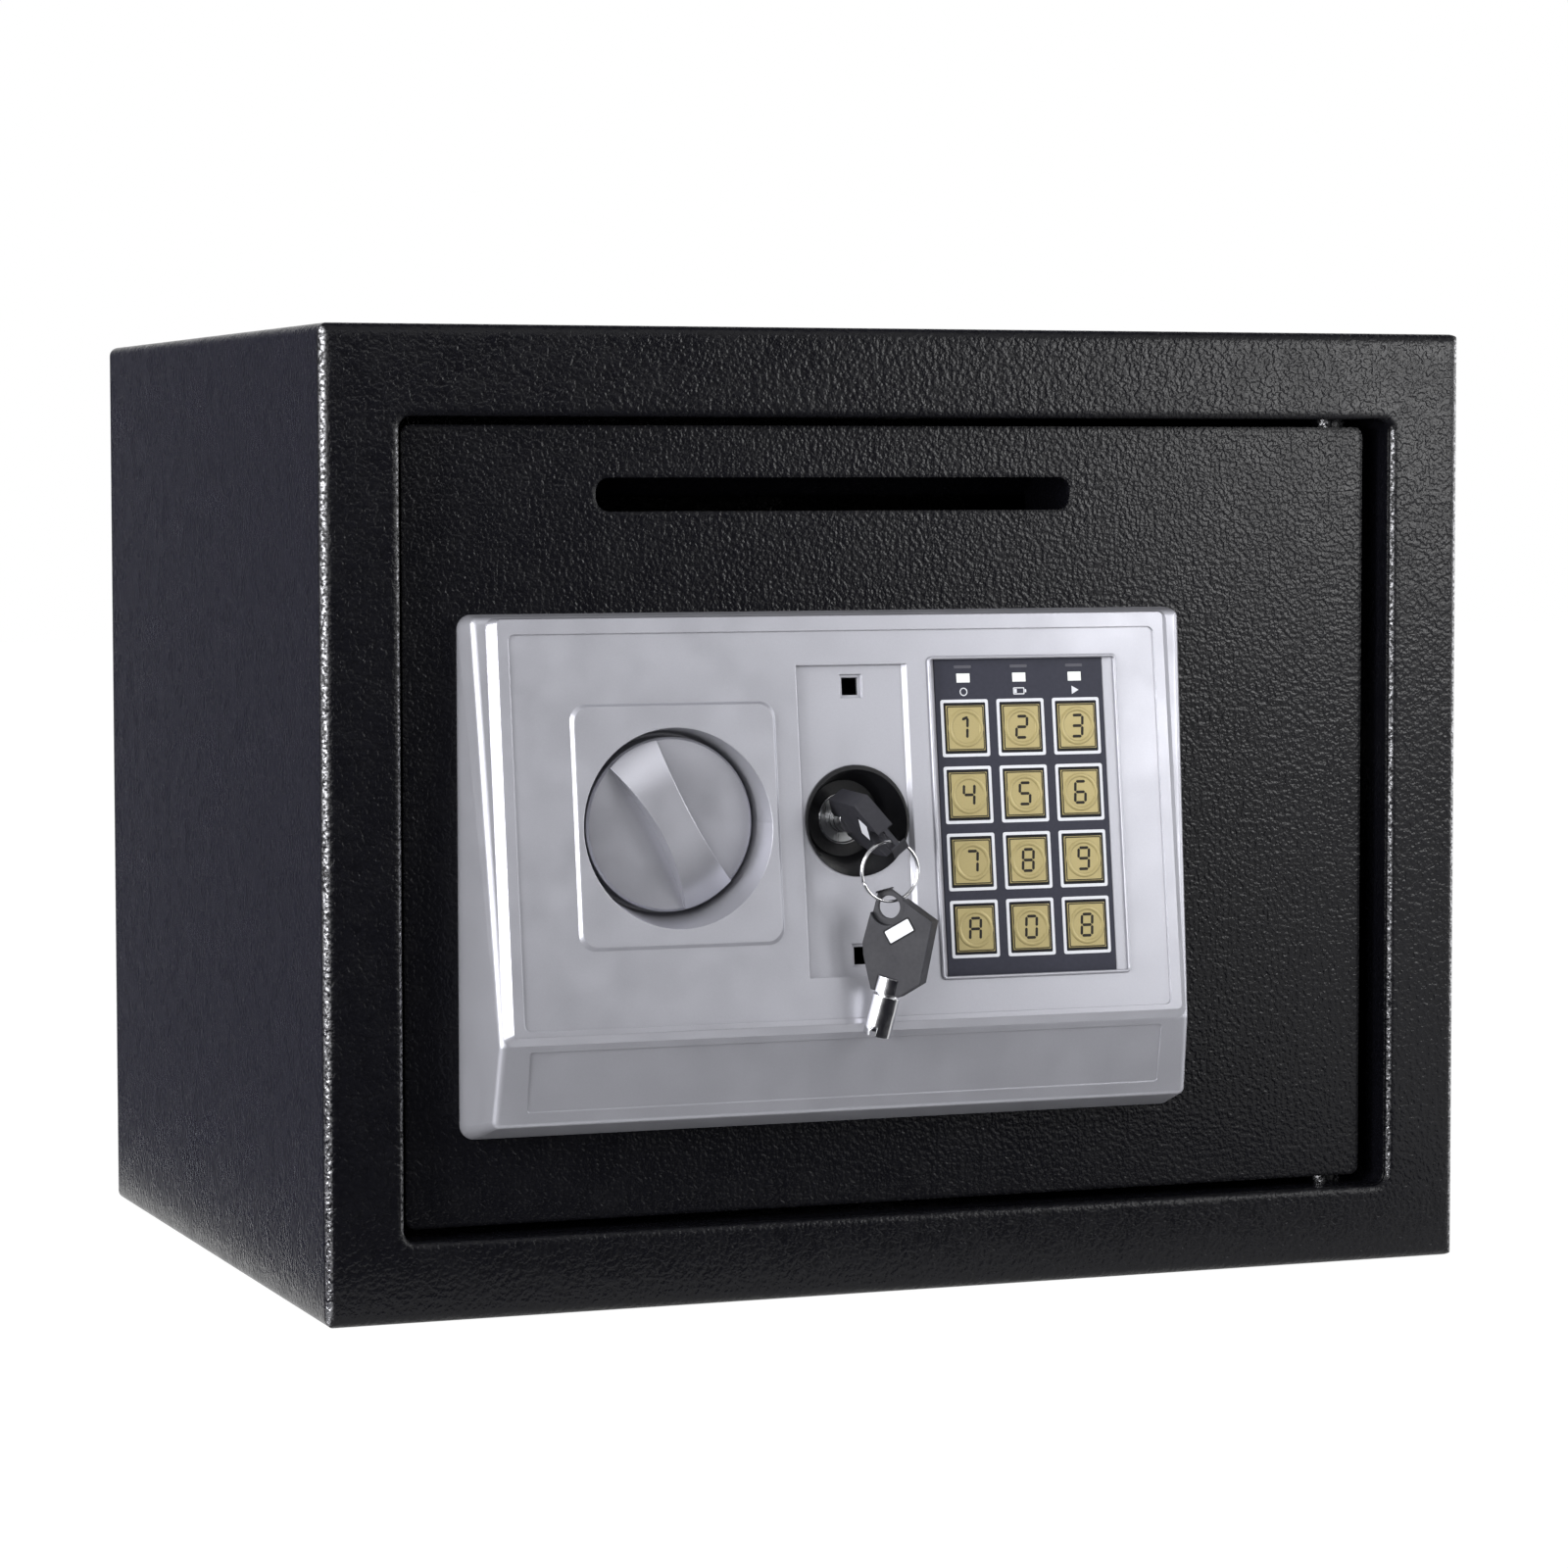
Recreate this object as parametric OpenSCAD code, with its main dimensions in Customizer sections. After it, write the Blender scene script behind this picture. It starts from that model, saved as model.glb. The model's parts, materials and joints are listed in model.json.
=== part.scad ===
// Electronic safe with a drop slot in its door. Millimetres.
// The front faces -Y, +X is to the right, +Z is up, and the origin is the middle of the underside.

/* [Cabinet] */
// Outside width
body_w = 380; // [365:1:450]
// Outside height
body_h = 300; // [290:1:360]
// Outside depth, without the panel
body_d = 280; // [240:1:360]
// Thickness of the body sheet
shell_t = 2; // [1.5:0.1:3]
// Outer edge radius
body_edge_r = 3; // [2:0.5:6]
// Width of the front lip at each side
lip_side = 24.5; // [20:0.5:30]
// Height of the front lip at the top
lip_top = 27.5; // [22:0.5:32]
// Height of the front lip at the bottom
lip_bottom = 24.5; // [20:0.5:30]
// Corner radius of the door opening
opening_r = 4; // [3:0.5:8]
// Depth of the folded return at the two sides, behind the front
return_side = 16; // [14:1:17]
// Depth of the folded return at the top and bottom, behind the front
return_ends = 28; // [27:1:34]
// Thickness of the strike bar
strike_t = 3; // [2:0.5:3]
// Height of the strike bar
strike_h = 190; // [160:5:220]
// Distance between the two anchor holes in the floor, and in the back
anchor_pitch = 200; // [120:10:260]
// Diameter of the anchor holes
anchor_d = 10; // [8:0.5:12]
// Thickness of the carpet mat
mat_t = 3; // [2:0.5:5]
// Gap between the mat and the walls
mat_gap = 2; // [1:0.5:6]
// Diameter of the washer openings in the mat
mat_hole_d = 26; // [20:1:40]

/* [Door] */
// How far the door lies behind the front
door_recess = 8; // [6:0.5:9]
// Thickness of the door plate
door_t = 4; // [3:0.5:5]
// Corner radius of the door
door_r = 3; // [2:0.5:6]
// Gap at the bolt side
gap_latch = 2.5; // [2:0.25:4]
// Gap at the hinge side
gap_hinge = 6.5; // [5:0.25:8]
// Gap above the door
gap_top = 2.5; // [1.5:0.25:4]
// Gap below the door
gap_bottom = 3; // [2:0.25:5]
// Length of the drop slot
slot_w = 157.7; // [100:1:200]
// Height of the drop slot
slot_h = 10.3; // [8:0.1:14]
// Slot's left end from the door's left edge
slot_from_left = 61.3; // [40:1:90]
// Middle of the slot below the door's top edge
slot_from_top = 21; // [19:0.5:24]
// Sheet thickness of the rear tray
tray_t = 1.5; // [1:0.1:2]
// Depth of the rear tray
tray_depth = 32; // [31:0.5:36]
// Tray's left wall from the door's left edge
tray_from_left = 13; // [11:0.5:15]
// Tray's right wall from the door's right edge
tray_from_right = 21; // [18:0.5:24]
// Tray's floor above the door's bottom edge
tray_from_bottom = 12.5; // [8:0.5:16]
// Space between the tray and the drop chute
tray_below_chute = 2.5; // [1.5:0.25:5]
// Thickness of the back cover
cover_t = 1.2; // [1:0.1:2]
// Sheet thickness of the drop chute
chute_t = 1.2; // [1:0.1:2]
// Depth of the drop chute
chute_depth = 34; // [28:1:40]

/* [Hinge] */
// Diameter of the hinge pins
pin_d = 6; // [5:0.5:8]
// Running clearance on the radius of a pin
pin_clear = 0.05; // [0.03:0.01:0.08]
// Wall of a hinge bush
bush_wall = 1.5; // [1:0.1:2]
// Pin axis from the door's right edge
hinge_inset = 7.5; // [7:0.25:8.5]
// Pin axis behind the door plate
hinge_behind = 5.5; // [5:0.25:6]
// Thickness of a hinge ear
ear_t = 3; // [2.5:0.5:4]

/* [Bolt work] */
// Diameter of a live bolt
bolt_d = 16; // [12:1:18]
// Length of a live bolt
bolt_len = 40; // [38:1:41]
// Distance between the two live bolts
bolt_spread = 124; // [116:1:130]
// How far the bolts travel
bolt_throw = 14; // [12:0.5:14.5]
// Running clearance on the radius of a bolt
bolt_clear = 0.08; // [0.05:0.01:0.1]
// Thickness of the bolt bar
bar_t = 3; // [2:0.5:4]
// Diameter of the crank pin
crank_pin_d = 6; // [5:0.5:7]
// Clearance of the crank pin in its slot
crank_clear = 0.45; // [0.4:0.05:0.6]
// Radius of the crank disc
crank_disc_r = 14; // [13.5:0.25:15]
// Diameter of the knob's spindle
spindle_d = 8; // [7:0.5:9]

/* [Panel] */
// Width of the panel at the door
panel_w = 238; // [230:1:244]
// Height of the panel at the door
panel_h = 159; // [157:0.5:164]
// Panel's left edge from the door's left edge
panel_from_left = 17; // [14:0.5:22]
// How far the panel's middle is below the door's middle
panel_drop = 15.25; // [12:0.25:17]
// How far the panel's top edge stands off the door
panel_top_p = 8.25; // [8:0.25:10]
// How far the ridge stands off the door
panel_ridge_p = 24.5; // [23:0.5:27]
// How far the panel's bottom edge stands off the door
panel_low_p = 20; // [18:0.5:21]
// Ridge above the panel's bottom edge
ridge_up = 30.5; // [29:0.5:33]
// How far the top edge leans in from the foot
top_lean = 0.6; // [0.4:0.1:5]
// How far the bottom edge leans in from the foot
low_lean = 5.1; // [4:0.1:6]
// Sideways lean of the side walls for each millimetre of height
side_draft = 0.22; // [0.16:0.01:0.26]
// Wall of the housing
panel_wall = 2.2; // [1.8:0.1:2.6]
// Edge radius of the housing
panel_edge_r = 2.4; // [1.5:0.1:3]
// Height of the raised plate
plate_h = 2.5; // [2:0.1:3]
// Width of the raised plate
plate_w = 224.6; // [222:0.2:225]
// Depth of the shallow inset panels
inset_depth = 0.5; // [0.3:0.1:0.8]
// Margin of the inset from the raised plate's top
inset_margin = 3.5; // [2.5:0.5:6]
// Width of the raised square round the knob
knob_square_w = 64; // [62.5:0.5:66]
// Height of the raised square round the knob
knob_square_h = 72.6; // [66:0.5:76]
// Knob axis from the panel's left edge
knob_from_left = 64; // [60:0.5:66]
// Lock axis from the panel's left edge
lock_from_left = 123; // [121:0.5:124]
// Middle of the knob, lock and keypad, along the face from the ridge
row_up = 64.8; // [63:0.2:66]
// Width of the key channel
channel_w = 37; // [36:0.5:38]
// Height of the key channel
channel_h = 95.8; // [88:0.5:98]
// Depth of the key channel
channel_depth = 2.2; // [2:0.1:2.8]
// Run of the channel's sloping right wall
channel_slope = 1.5; // [1:0.1:1.5]
// Side of the square clip holes
clip_hole = 7.2; // [6.5:0.1:7.8]
// Ledge round the inside of a clip hole
clip_ledge = 0.9; // [0.5:0.1:1.2]
// Run of the sloping edge of the raised square
square_slope = 0.9; // [0.5:0.1:1.2]
// Distance between the clip holes
clip_pitch = 83; // [76:0.5:84]

/* [Keypad] */
// Keypad's middle from the panel's left edge
keypad_from_left = 180; // [178:0.5:181]
// Width of the keypad recess
keypad_w = 62.5; // [61:0.5:64]
// Height of the keypad recess
keypad_h = 98.6; // [96:0.5:102]
// Depth of the keypad recess
keypad_depth = 2; // [1.5:0.1:2.4]
// Width of the recess's sloping right wall
keypad_slope = 3.6; // [2:0.2:4.5]
// Thickness of the overlay
overlay_t = 0.4; // [0.3:0.1:0.6]
// Width of a key
key_w = 12.6; // [11:0.2:13.6]
// Height of a key
key_h = 14; // [12:0.2:15]
// Distance between key columns
key_pitch_x = 18.9; // [17:0.1:20]
// Distance between key rows
key_pitch_z = 20.8; // [18.5:0.1:21]
// Middle of the lowest key row above the recess's lower edge
key_row_up = 14.6; // [12:0.2:15]
// How far a key stands above the overlay
key_proud = 0.4; // [0.2:0.1:0.8]
// How far a key is pressed
key_travel = 0.5; // [0.3:0.1:0.6]
// Clearance round a key
key_clear = 0.25; // [0.2:0.05:0.35]
// Width of an indicator window
led_w = 4.4; // [3:0.2:6]
// Height of an indicator window
led_h = 2.8; // [2:0.2:4]
// Indicators above the top key row
led_up = 15.6; // [14:0.2:16]

/* [Knob] */
// Radius of the knob
knob_r = 26.7; // [24:0.1:27]
// Gap between the knob and its well
knob_gap = 0.9; // [0.5:0.1:1.5]
// Radius of the well at its mouth
well_r = 30.2; // [29.5:0.1:31]
// How far the knob's face stands off the door
knob_face_p = 11; // [10:0.25:12]
// Rise of the grip in the middle
grip_rise = 6.8; // [4:0.2:8]
// Width of the grip at its ends
grip_end_w = 18; // [14:0.5:20]
// Width of the grip in the middle
grip_mid_w = 10.8; // [8:0.2:12]
// Lean of the grip from upright at rest
grip_lean = 29; // [0:1:45]

/* [Lock and keys] */
// Radius of the cup's mouth
cup_r = 16; // [15.5:0.1:16.2]
// Width of the lock cup's rim
cup_flange = 1; // [0.8:0.1:1.2]
// Radius of the lock's face
lock_face_r = 11.9; // [11.2:0.1:12.4]
// How far the lock's face stands off the door
lock_face_p = 4.7; // [4.5:0.1:6]
// Radius of the lock barrel
barrel_r = 9.5; // [9:0.1:10]
// Radius of the lock plug
plug_r = 7.4; // [7:0.1:7.6]
// Running clearance on the radius of the plug
plug_clear = 0.08; // [0.05:0.01:0.1]
// Length of the lock barrel
barrel_len = 15.7; // [15:0.1:17]
// Throw of the lock cam
cam_throw = 4; // [3:0.25:4.5]
// Radius of the lock cam
cam_r = 7; // [6:0.25:8]
// Outside radius of the key's tube
tube_r = 4.3; // [4:0.1:4.5]
// Bore radius of the key's tube
tube_bore_r = 3.3; // [3:0.1:3.4]
// Width of the notch at the tube's end
tube_notch_w = 2; // [1.2:0.1:2.6]
// Height of the notch at the tube's end
tube_notch_h = 3; // [1.5:0.5:4]
// Height of the neck between the tube and the bow
tube_neck = 0.9; // [0.5:0.1:1]
// Length of the key's tube outside the bow
tube_len = 13.5; // [12:0.5:14]
// Clearance round the tube in the lock
tube_clear = 0.1; // [0.08:0.01:0.15]
// How far the bow stands off the lock's face
bow_off = 3.5; // [3:0.1:4]
// Thickness of the bow
bow_t = 5.6; // [4.6:0.2:6]
// Thickness of the bow's web at the ring hole
web_t = 1.4; // [1.2:0.1:1.6]
// Radius of the ring hole
ring_hole_r = 3.5; // [3.3:0.05:3.6]
// Turn of the bow in the lock, from level
bow_turn = 127; // [110:1:135]
// Mean radius of the ring
ring_r = 9.2; // [8.6:0.1:10]
// Radius of the ring's wire
wire_r = 0.75; // [0.6:0.05:0.8]

/* [Solenoid and battery] */
// Diameter of the plunger
plunger_d = 8; // [7:0.5:8]
// Running clearance on the radius of the plunger
plunger_clear = 0.1; // [0.06:0.01:0.1]
// Plunger from the lock's axis
plunger_off = 12; // [11:0.5:13]
// Radius of the solenoid coil
coil_r = 11; // [9:0.5:12]
// Length of the solenoid coil
coil_len = 34; // [28:1:36]
// Radius of a battery
cell_r = 7.1; // [7:0.1:7.4]
// Length of a battery
cell_len = 50; // [48:0.5:51]
// Wall of the battery box
box_wall = 1.5; // [1:0.1:2]
// Thickness of the battery lid
lid_t = 1.6; // [1.2:0.1:2]
// How far the battery lid slides
lid_slide = 60; // [30:5:64]
// Radius of the reset button
reset_r = 3.6; // [3:0.1:4]
// Travel of the reset button
reset_travel = 1.2; // [0.8:0.1:1.4]
// Reset button below the tray's top
reset_from_top = 46; // [40:1:50]

/* [Hidden] */
$fn = 48;
big = 500;
side_gap = 0.3;

// Cabinet
front_y = -body_d / 2;
back_y = body_d / 2;
wall_x = body_w / 2 - shell_t;
open_x0 = -body_w / 2 + lip_side;
open_x1 = body_w / 2 - lip_side;
open_z0 = lip_bottom;
open_z1 = body_h - lip_top;
strike_y = front_y + return_side;
anchor_z = body_h / 2;

// Door plate and its hinge
door_x0 = open_x0 + gap_latch;
door_x1 = open_x1 - gap_hinge;
door_z0 = open_z0 + gap_bottom;
door_z1 = open_z1 - gap_top;
door_y = front_y + door_recess;
rear_y = door_y + door_t;
hinge_x = door_x1 - hinge_inset;
hinge_y = rear_y + hinge_behind;
pin_r = pin_d / 2;
bush_r = pin_r + pin_clear + bush_wall;
ear_half = bush_r + 2;
ear_low_z = door_z0 + 2;
ear_high_z = door_z1 - 2;
flange_t = 1.2;
flange_r = bush_r + 1.5;

// Drop slot and chute
slot_x0 = door_x0 + slot_from_left;
slot_x1 = slot_x0 + slot_w;
slot_z = door_z1 - slot_from_top;
slot_z0 = slot_z - slot_h / 2;
slot_z1 = slot_z + slot_h / 2;
chute_drop = 4;
chute_margin = 1;

// Rear tray
tray_x0 = door_x0 + tray_from_left;
tray_x1 = door_x1 - tray_from_right;
tray_z0 = door_z0 + tray_from_bottom;
tray_z1 = slot_z0 - chute_margin - chute_drop - chute_t - tray_below_chute;
tray_y = rear_y + tray_depth;
tab = 12;
cover_screw_r = 1.75;
cover_screw_len = 6;
cover_screw_at = corners(tray_x0 + tab / 2, tray_x1 - tab / 2, tray_z0 + tab / 2, tray_z1 - tab / 2);

// Panel outline: each corner is how far it stands off the door, and its height
panel_x0 = door_x0 + panel_from_left;
panel_x1 = panel_x0 + panel_w;
panel_xc = (panel_x0 + panel_x1) / 2;
panel_z0 = (door_z0 + door_z1 - panel_h) / 2 - panel_drop;
panel_z1 = panel_z0 + panel_h;
ridge_z = panel_z0 + ridge_up;
top_z = panel_z1 - top_lean;
low_z = panel_z0 + low_lean;
tilt = atan((panel_ridge_p - panel_top_p) / (top_z - ridge_z));
face_len = (top_z - ridge_z) / cos(tilt);
low_tilt = atan((panel_ridge_p - panel_low_p) / (ridge_z - low_z));
low_len = (ridge_z - low_z) / cos(low_tilt);
plate_top = face_len - 0.4;
axis_z = ridge_z + row_up * cos(tilt);
knob_x = panel_x0 + knob_from_left;
lock_x = panel_x0 + lock_from_left;
screw_in = 13;
screw_up = 11.5;
housing_screw_r = 1.5;
housing_screw_at = corners(panel_x0 + screw_in, panel_x1 - screw_in, panel_z0 + screw_up, panel_z1 - screw_up);
boss_r = 4;
boss_p = 5.5;

// Depths square to the raised face, counted inwards from the plane under the raised plate
plate_front = -plate_h;
channel_floor = plate_front + channel_depth;
cup_out = cup_r + cup_flange;
keypad_floor = plate_front + keypad_depth;
overlay_front = keypad_floor - overlay_t;
housing_back = panel_wall;
skin = 2;
key_front = overlay_front - key_proud;
key_flange = housing_back + side_gap;
key_flange_t = 0.8;
dome_h = 0.4;
board_front = key_flange + key_flange_t + key_travel + 0.1 + dome_h;
board_t = 1.6;

// Keypad
keypad_x = panel_x0 + keypad_from_left;
keypad_x0 = keypad_x - keypad_w / 2;
keypad_x1 = keypad_x + keypad_w / 2;
keypad_z0 = row_up - keypad_h / 2;
keypad_z1 = row_up + keypad_h / 2;
overlay_x0 = keypad_x0 + 2;
overlay_x1 = keypad_x1 - keypad_slope;
overlay_xc = (overlay_x0 + overlay_x1) / 2;
led_z = keypad_z0 + key_row_up + 3 * key_pitch_z + led_up;

// Bolt work
bolt_y = rear_y + tray_depth / 2 + 1;
bolt_r = bolt_d / 2;
bolt_tip_x = door_x0 + 1.5;
bolt_end_x = bolt_tip_x + bolt_len;
bolt_grip = 6;
bar_x0 = bolt_end_x - bolt_grip;
bar_x1 = bar_x0 + 34;
bar_front = bolt_y - bar_t / 2;
bar_back = bolt_y + bar_t / 2;
bar_over = 12;
guide_t = 6;
guide_wall = 3.4;
guide_post_r = 3;
guide_slot_r = guide_post_r + side_gap;
guide_x = bar_x0 + 3 + guide_slot_r + 3;
guide_spread = bolt_spread - 28;
crank_r = bolt_throw / sqrt(2);
crank_dx = crank_r * sin(45);
crank_slot_r = crank_pin_d / 2 + crank_clear;
disc_y1 = bar_front - 3.5;
disc_t = 3.5;
spindle_r = spindle_d / 2;
spindle_clear = 0.08;

// Lock, its cam and the plunger above the bolt bar's arm
face_y = door_y - lock_face_p;
barrel_y = face_y + barrel_len;
plug_face = 0.4;
groove_depth = tube_len - bow_off + plug_face;
cam_y0 = barrel_y + side_gap;
cam_t = 3;
tail_r = 2;
cam_nut_r = 3;
nut_t = 2.2;
cam_top_z = axis_z - cam_throw + cam_r;
plunger_x = lock_x + plunger_off;
plunger_r = plunger_d / 2;
arm_top_z = axis_z - 12.8;
arm_h = 12;
plate_z0 = cam_top_z + side_gap;
lift_t = 2.5;
sol_t = 2;
sol_z0 = plate_z0 + lift_t + 11.4;
sol_z1 = sol_z0 + 2 * sol_t + coil_len;
sol_half = coil_r + 3;
plunger_top = sol_z1 - sol_t - cam_throw - 2;
notch_w = plunger_d + 1;

// Battery box behind the back cover
cell_pitch = 2 * cell_r + 0.4;
cells = 4;
box_x1 = tray_x1 - 14;
box_x0 = box_x1 - cell_len - 4 - 2 * box_wall;
box_z0 = tray_z0 + 25;
box_z1 = box_z0 + cells * cell_pitch + 2 * box_wall;
box_depth = 2 * cell_r + 1.2 + box_wall;
lid_over = 4;
rail_w = 3;
lid_gap = 0.2;
reset_x = box_x0 - 22;
reset_z = tray_z1 - reset_from_top;

// Outline of a key's bow, from its foot (0, 0) up, and the ring hole in its corner
bow_pts = [[-4.6, 0], [4.6, 0], [10.3, 6], [9.2, 25.5], [-7.6, 31.2], [-10.6, 29.4], [-10.8, 13], [-9.6, 9.4]];
hole_at = [-6, 25.6];
hole_pocket_r = 5.5;
ring_shift = 0.6;
ring_hole = [lock_x + (hole_at[0] - ring_shift) * cos(bow_turn),
    face_y - bow_off - hole_at[1],
    axis_z + (hole_at[0] - ring_shift) * sin(bow_turn)];
spare_yaw = -42;
spare_lean = 15;
spare_sag = 1.6;
spare_hole = [ring_hole[0], ring_hole[1], ring_hole[2] - 2 * ring_r - spare_sag];

function corners(x0, x1, z0, z1) = [for (x = [x0, x1], z = [z0, z1]) [x, z]];

module block(a, b) {
    translate(a) cube(b - a);
}

// A round bar along Y, from y0 back to y1
module round_y(r, x, z, y0, y1) {
    translate([x, y1, z]) rotate([90, 0, 0]) cylinder(r = r, h = y1 - y0);
}

// A flat outline drawn in X and Z, thickened from y0 back to y1
module slab_y(y0, y1) {
    translate([0, y1, 0]) rotate([90, 0, 0]) linear_extrude(y1 - y0) children();
}

module rounded(x0, x1, z0, z1, r) {
    translate([x0 + r, z0]) square([x1 - x0 - 2 * r, z1 - z0]);
    translate([x0, z0 + r]) square([x1 - x0, z1 - z0 - 2 * r]);
    for (x = [x0 + r, x1 - r], z = [z0 + r, z1 - r]) translate([x, z]) circle(r);
}

// A rounded slot along X, in X and Z
module slot_x(x0, x1, z, r) {
    translate([x0 + r, z - r]) square([x1 - x0 - 2 * r, 2 * r]);
    for (x = [x0 + r, x1 - r]) translate([x, z]) circle(r);
}

// The panel face's own frame: x as it is, z up along the face from the ridge, y inwards
module on_face() {
    translate([0, door_y - panel_ridge_p, ridge_z]) rotate([-tilt, 0, 0]) children();
}

// The lower fascia's own frame, from the ridge down
module on_fascia() {
    translate([0, door_y - panel_ridge_p, ridge_z]) rotate([low_tilt, 0, 0]) children();
}

// Cabinet pieces

module body_block() {
    intersection() {
        slab_y(front_y, back_y) rounded(-body_w / 2, body_w / 2, 0, body_h, body_edge_r);
        linear_extrude(body_h) rounded(-body_w / 2, body_w / 2, front_y, back_y + body_edge_r, body_edge_r);
        translate([-body_w / 2, 0, 0]) rotate([90, 0, 90]) linear_extrude(body_w)
            rounded(front_y, back_y + body_edge_r, 0, body_h, body_edge_r);
    }
}

// What the rounded mouth of the door opening leaves of the lip
module mouth_bead() {
    r = shell_t;
    y = front_y + r;
    x0 = open_x0 - r;
    x1 = open_x1 + r;
    z0 = open_z0 - r;
    z1 = open_z1 + r;
    for (x = [x0, x1]) translate([x, y, z0 + opening_r + r]) cylinder(r = r, h = z1 - z0 - 2 * (opening_r + r));
    for (z = [z0, z1]) translate([x0 + opening_r + r, y, z]) rotate([0, 90, 0])
        cylinder(r = r, h = x1 - x0 - 2 * (opening_r + r));
    for (c = [[x0 + opening_r + r, z0 + opening_r + r, 0], [x1 - opening_r - r, z0 + opening_r + r, 270],
            [x1 - opening_r - r, z1 - opening_r - r, 180], [x0 + opening_r + r, z1 - opening_r - r, 90]])
        translate([c[0], y, c[1]]) rotate([0, c[2], 0]) rotate([90, 0, 0]) rotate([0, 0, 180])
            rotate_extrude(angle = 90) translate([opening_r + r, 0]) circle(r);
}

// Outline of the folded return round the door opening
module return_outline() {
    rounded(open_x0 - shell_t, open_x1 + shell_t, open_z0 - shell_t, open_z1 + shell_t, opening_r + shell_t);
}

module body_shell() {
    color("#1b1c20") difference() {
        body_block();
        block([-wall_x, front_y + shell_t, shell_t], [wall_x, back_y + 1, body_h - shell_t]);
        difference() {
            slab_y(front_y - 1, front_y + shell_t + 1)
                return_outline();
            mouth_bead();
        }
        for (x = [-anchor_pitch / 2, anchor_pitch / 2])
            translate([x, 0, -1]) cylinder(d = anchor_d, h = shell_t + 2);
    }
}

module back_panel() {
    color("#1b1c20") difference() {
        block([-wall_x, back_y - shell_t, shell_t], [wall_x, back_y, body_h - shell_t]);
        for (x = [-anchor_pitch / 2, anchor_pitch / 2])
            round_y(anchor_d / 2, x, anchor_z, back_y - shell_t - 1, back_y + 1);
    }
}

module frame_return() {
    color("#1b1c20") difference() {
        slab_y(front_y + shell_t, front_y + return_ends)
            return_outline();
        slab_y(front_y, front_y + return_ends + 1) rounded(open_x0, open_x1, open_z0, open_z1, opening_r);
        block([-big, strike_y, open_z0 + opening_r], [big, back_y, open_z1 - opening_r]);
        translate([hinge_x, hinge_y, 0]) cylinder(r = pin_r, h = body_h);
    }
}

module strike_bar() {
    mid_z = (open_z0 + open_z1) / 2;
    color("#1b1c20")
        block([-wall_x, strike_y, mid_z - strike_h / 2], [open_x0, strike_y + strike_t, mid_z + strike_h / 2]);
}

// A pin with its head outside the return and its collar under the door's bush, pointing up
module hinge_pin(collar) {
    translate([0, 0, -2 * shell_t]) cylinder(r = pin_r + 2, h = shell_t);
    translate([0, 0, -shell_t]) cylinder(r = pin_r, h = shell_t + collar + side_gap + flange_t + ear_t + 2);
    cylinder(r = flange_r - 1, h = collar);
}

module hinge_pins() {
    color("silver") {
        translate([hinge_x, hinge_y, open_z0]) hinge_pin(ear_low_z - flange_t - 0.2 - open_z0);
        translate([hinge_x, hinge_y, open_z1]) mirror([0, 0, 1])
            hinge_pin(open_z1 - ear_high_z - flange_t - 0.2);
    }
}

module floor_mat() {
    color("#3a3c40") difference() {
        block([-wall_x + mat_gap, front_y + return_ends + mat_gap, shell_t],
            [wall_x - mat_gap, back_y - shell_t - mat_gap, shell_t + mat_t]);
        for (x = [-anchor_pitch / 2, anchor_pitch / 2])
            translate([x, 0, 0]) cylinder(d = mat_hole_d, h = shell_t + mat_t + 1);
    }
}

// Door pieces

module door_plate() {
    color("#1b1c20") difference() {
        slab_y(door_y, rear_y) rounded(door_x0, door_x1, door_z0, door_z1, door_r);
        slab_y(door_y - 1, rear_y + 1) rounded(slot_x0, slot_x1, slot_z0, slot_z1, slot_h * 0.42);
        round_y(spindle_r + spindle_clear + 2, knob_x, axis_z, door_y - 1, rear_y + 1);
        round_y(barrel_r + 0.1, lock_x, axis_z, door_y - 1, rear_y + 1);
        round_y(6, keypad_x, axis_z, door_y - 1, rear_y + 1);
        for (p = housing_screw_at) round_y(housing_screw_r + 0.1, p[0], p[1], door_y - 1, rear_y + 1);
    }
}

module door_tray() {
    color("#1b1c20") difference() {
        union() {
            difference() {
                block([tray_x0, rear_y, tray_z0], [tray_x1, tray_y, tray_z1]);
                block([tray_x0 + tray_t, rear_y - 1, tray_z0 + tray_t],
                    [tray_x1 - tray_t, tray_y + 1, tray_z1 - tray_t]);
            }
            for (p = cover_screw_at) block([p[0] - tab / 2, tray_y - tray_t, p[1] - tab / 2],
                [p[0] + tab / 2, tray_y, p[1] + tab / 2]);
        }
        for (z = [axis_z - bolt_spread / 2, axis_z + bolt_spread / 2])
            translate([tray_x0 - 1, bolt_y, z]) rotate([0, 90, 0])
                cylinder(r = bolt_r + side_gap, h = tray_t + 2);
        for (p = cover_screw_at) round_y(cover_screw_r, p[0], p[1], tray_y - tray_t - 1, tray_y + 1);
    }
}

// One of the two grooved rails that hold the battery lid
module lid_rail(x, side) {
    y1 = tray_y + cover_t + lid_gap + lid_t + lid_gap + 1.2;
    slide_z1 = box_z1 + lid_over + lid_slide;
    block([min(x, x + side * rail_w), tray_y + cover_t, box_z0 - lid_over],
        [max(x, x + side * rail_w), y1, slide_z1]);
    block([min(x, x - side * 2), y1 - 1.2, box_z0 - lid_over], [max(x, x - side * 2), y1, slide_z1]);
}

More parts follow.
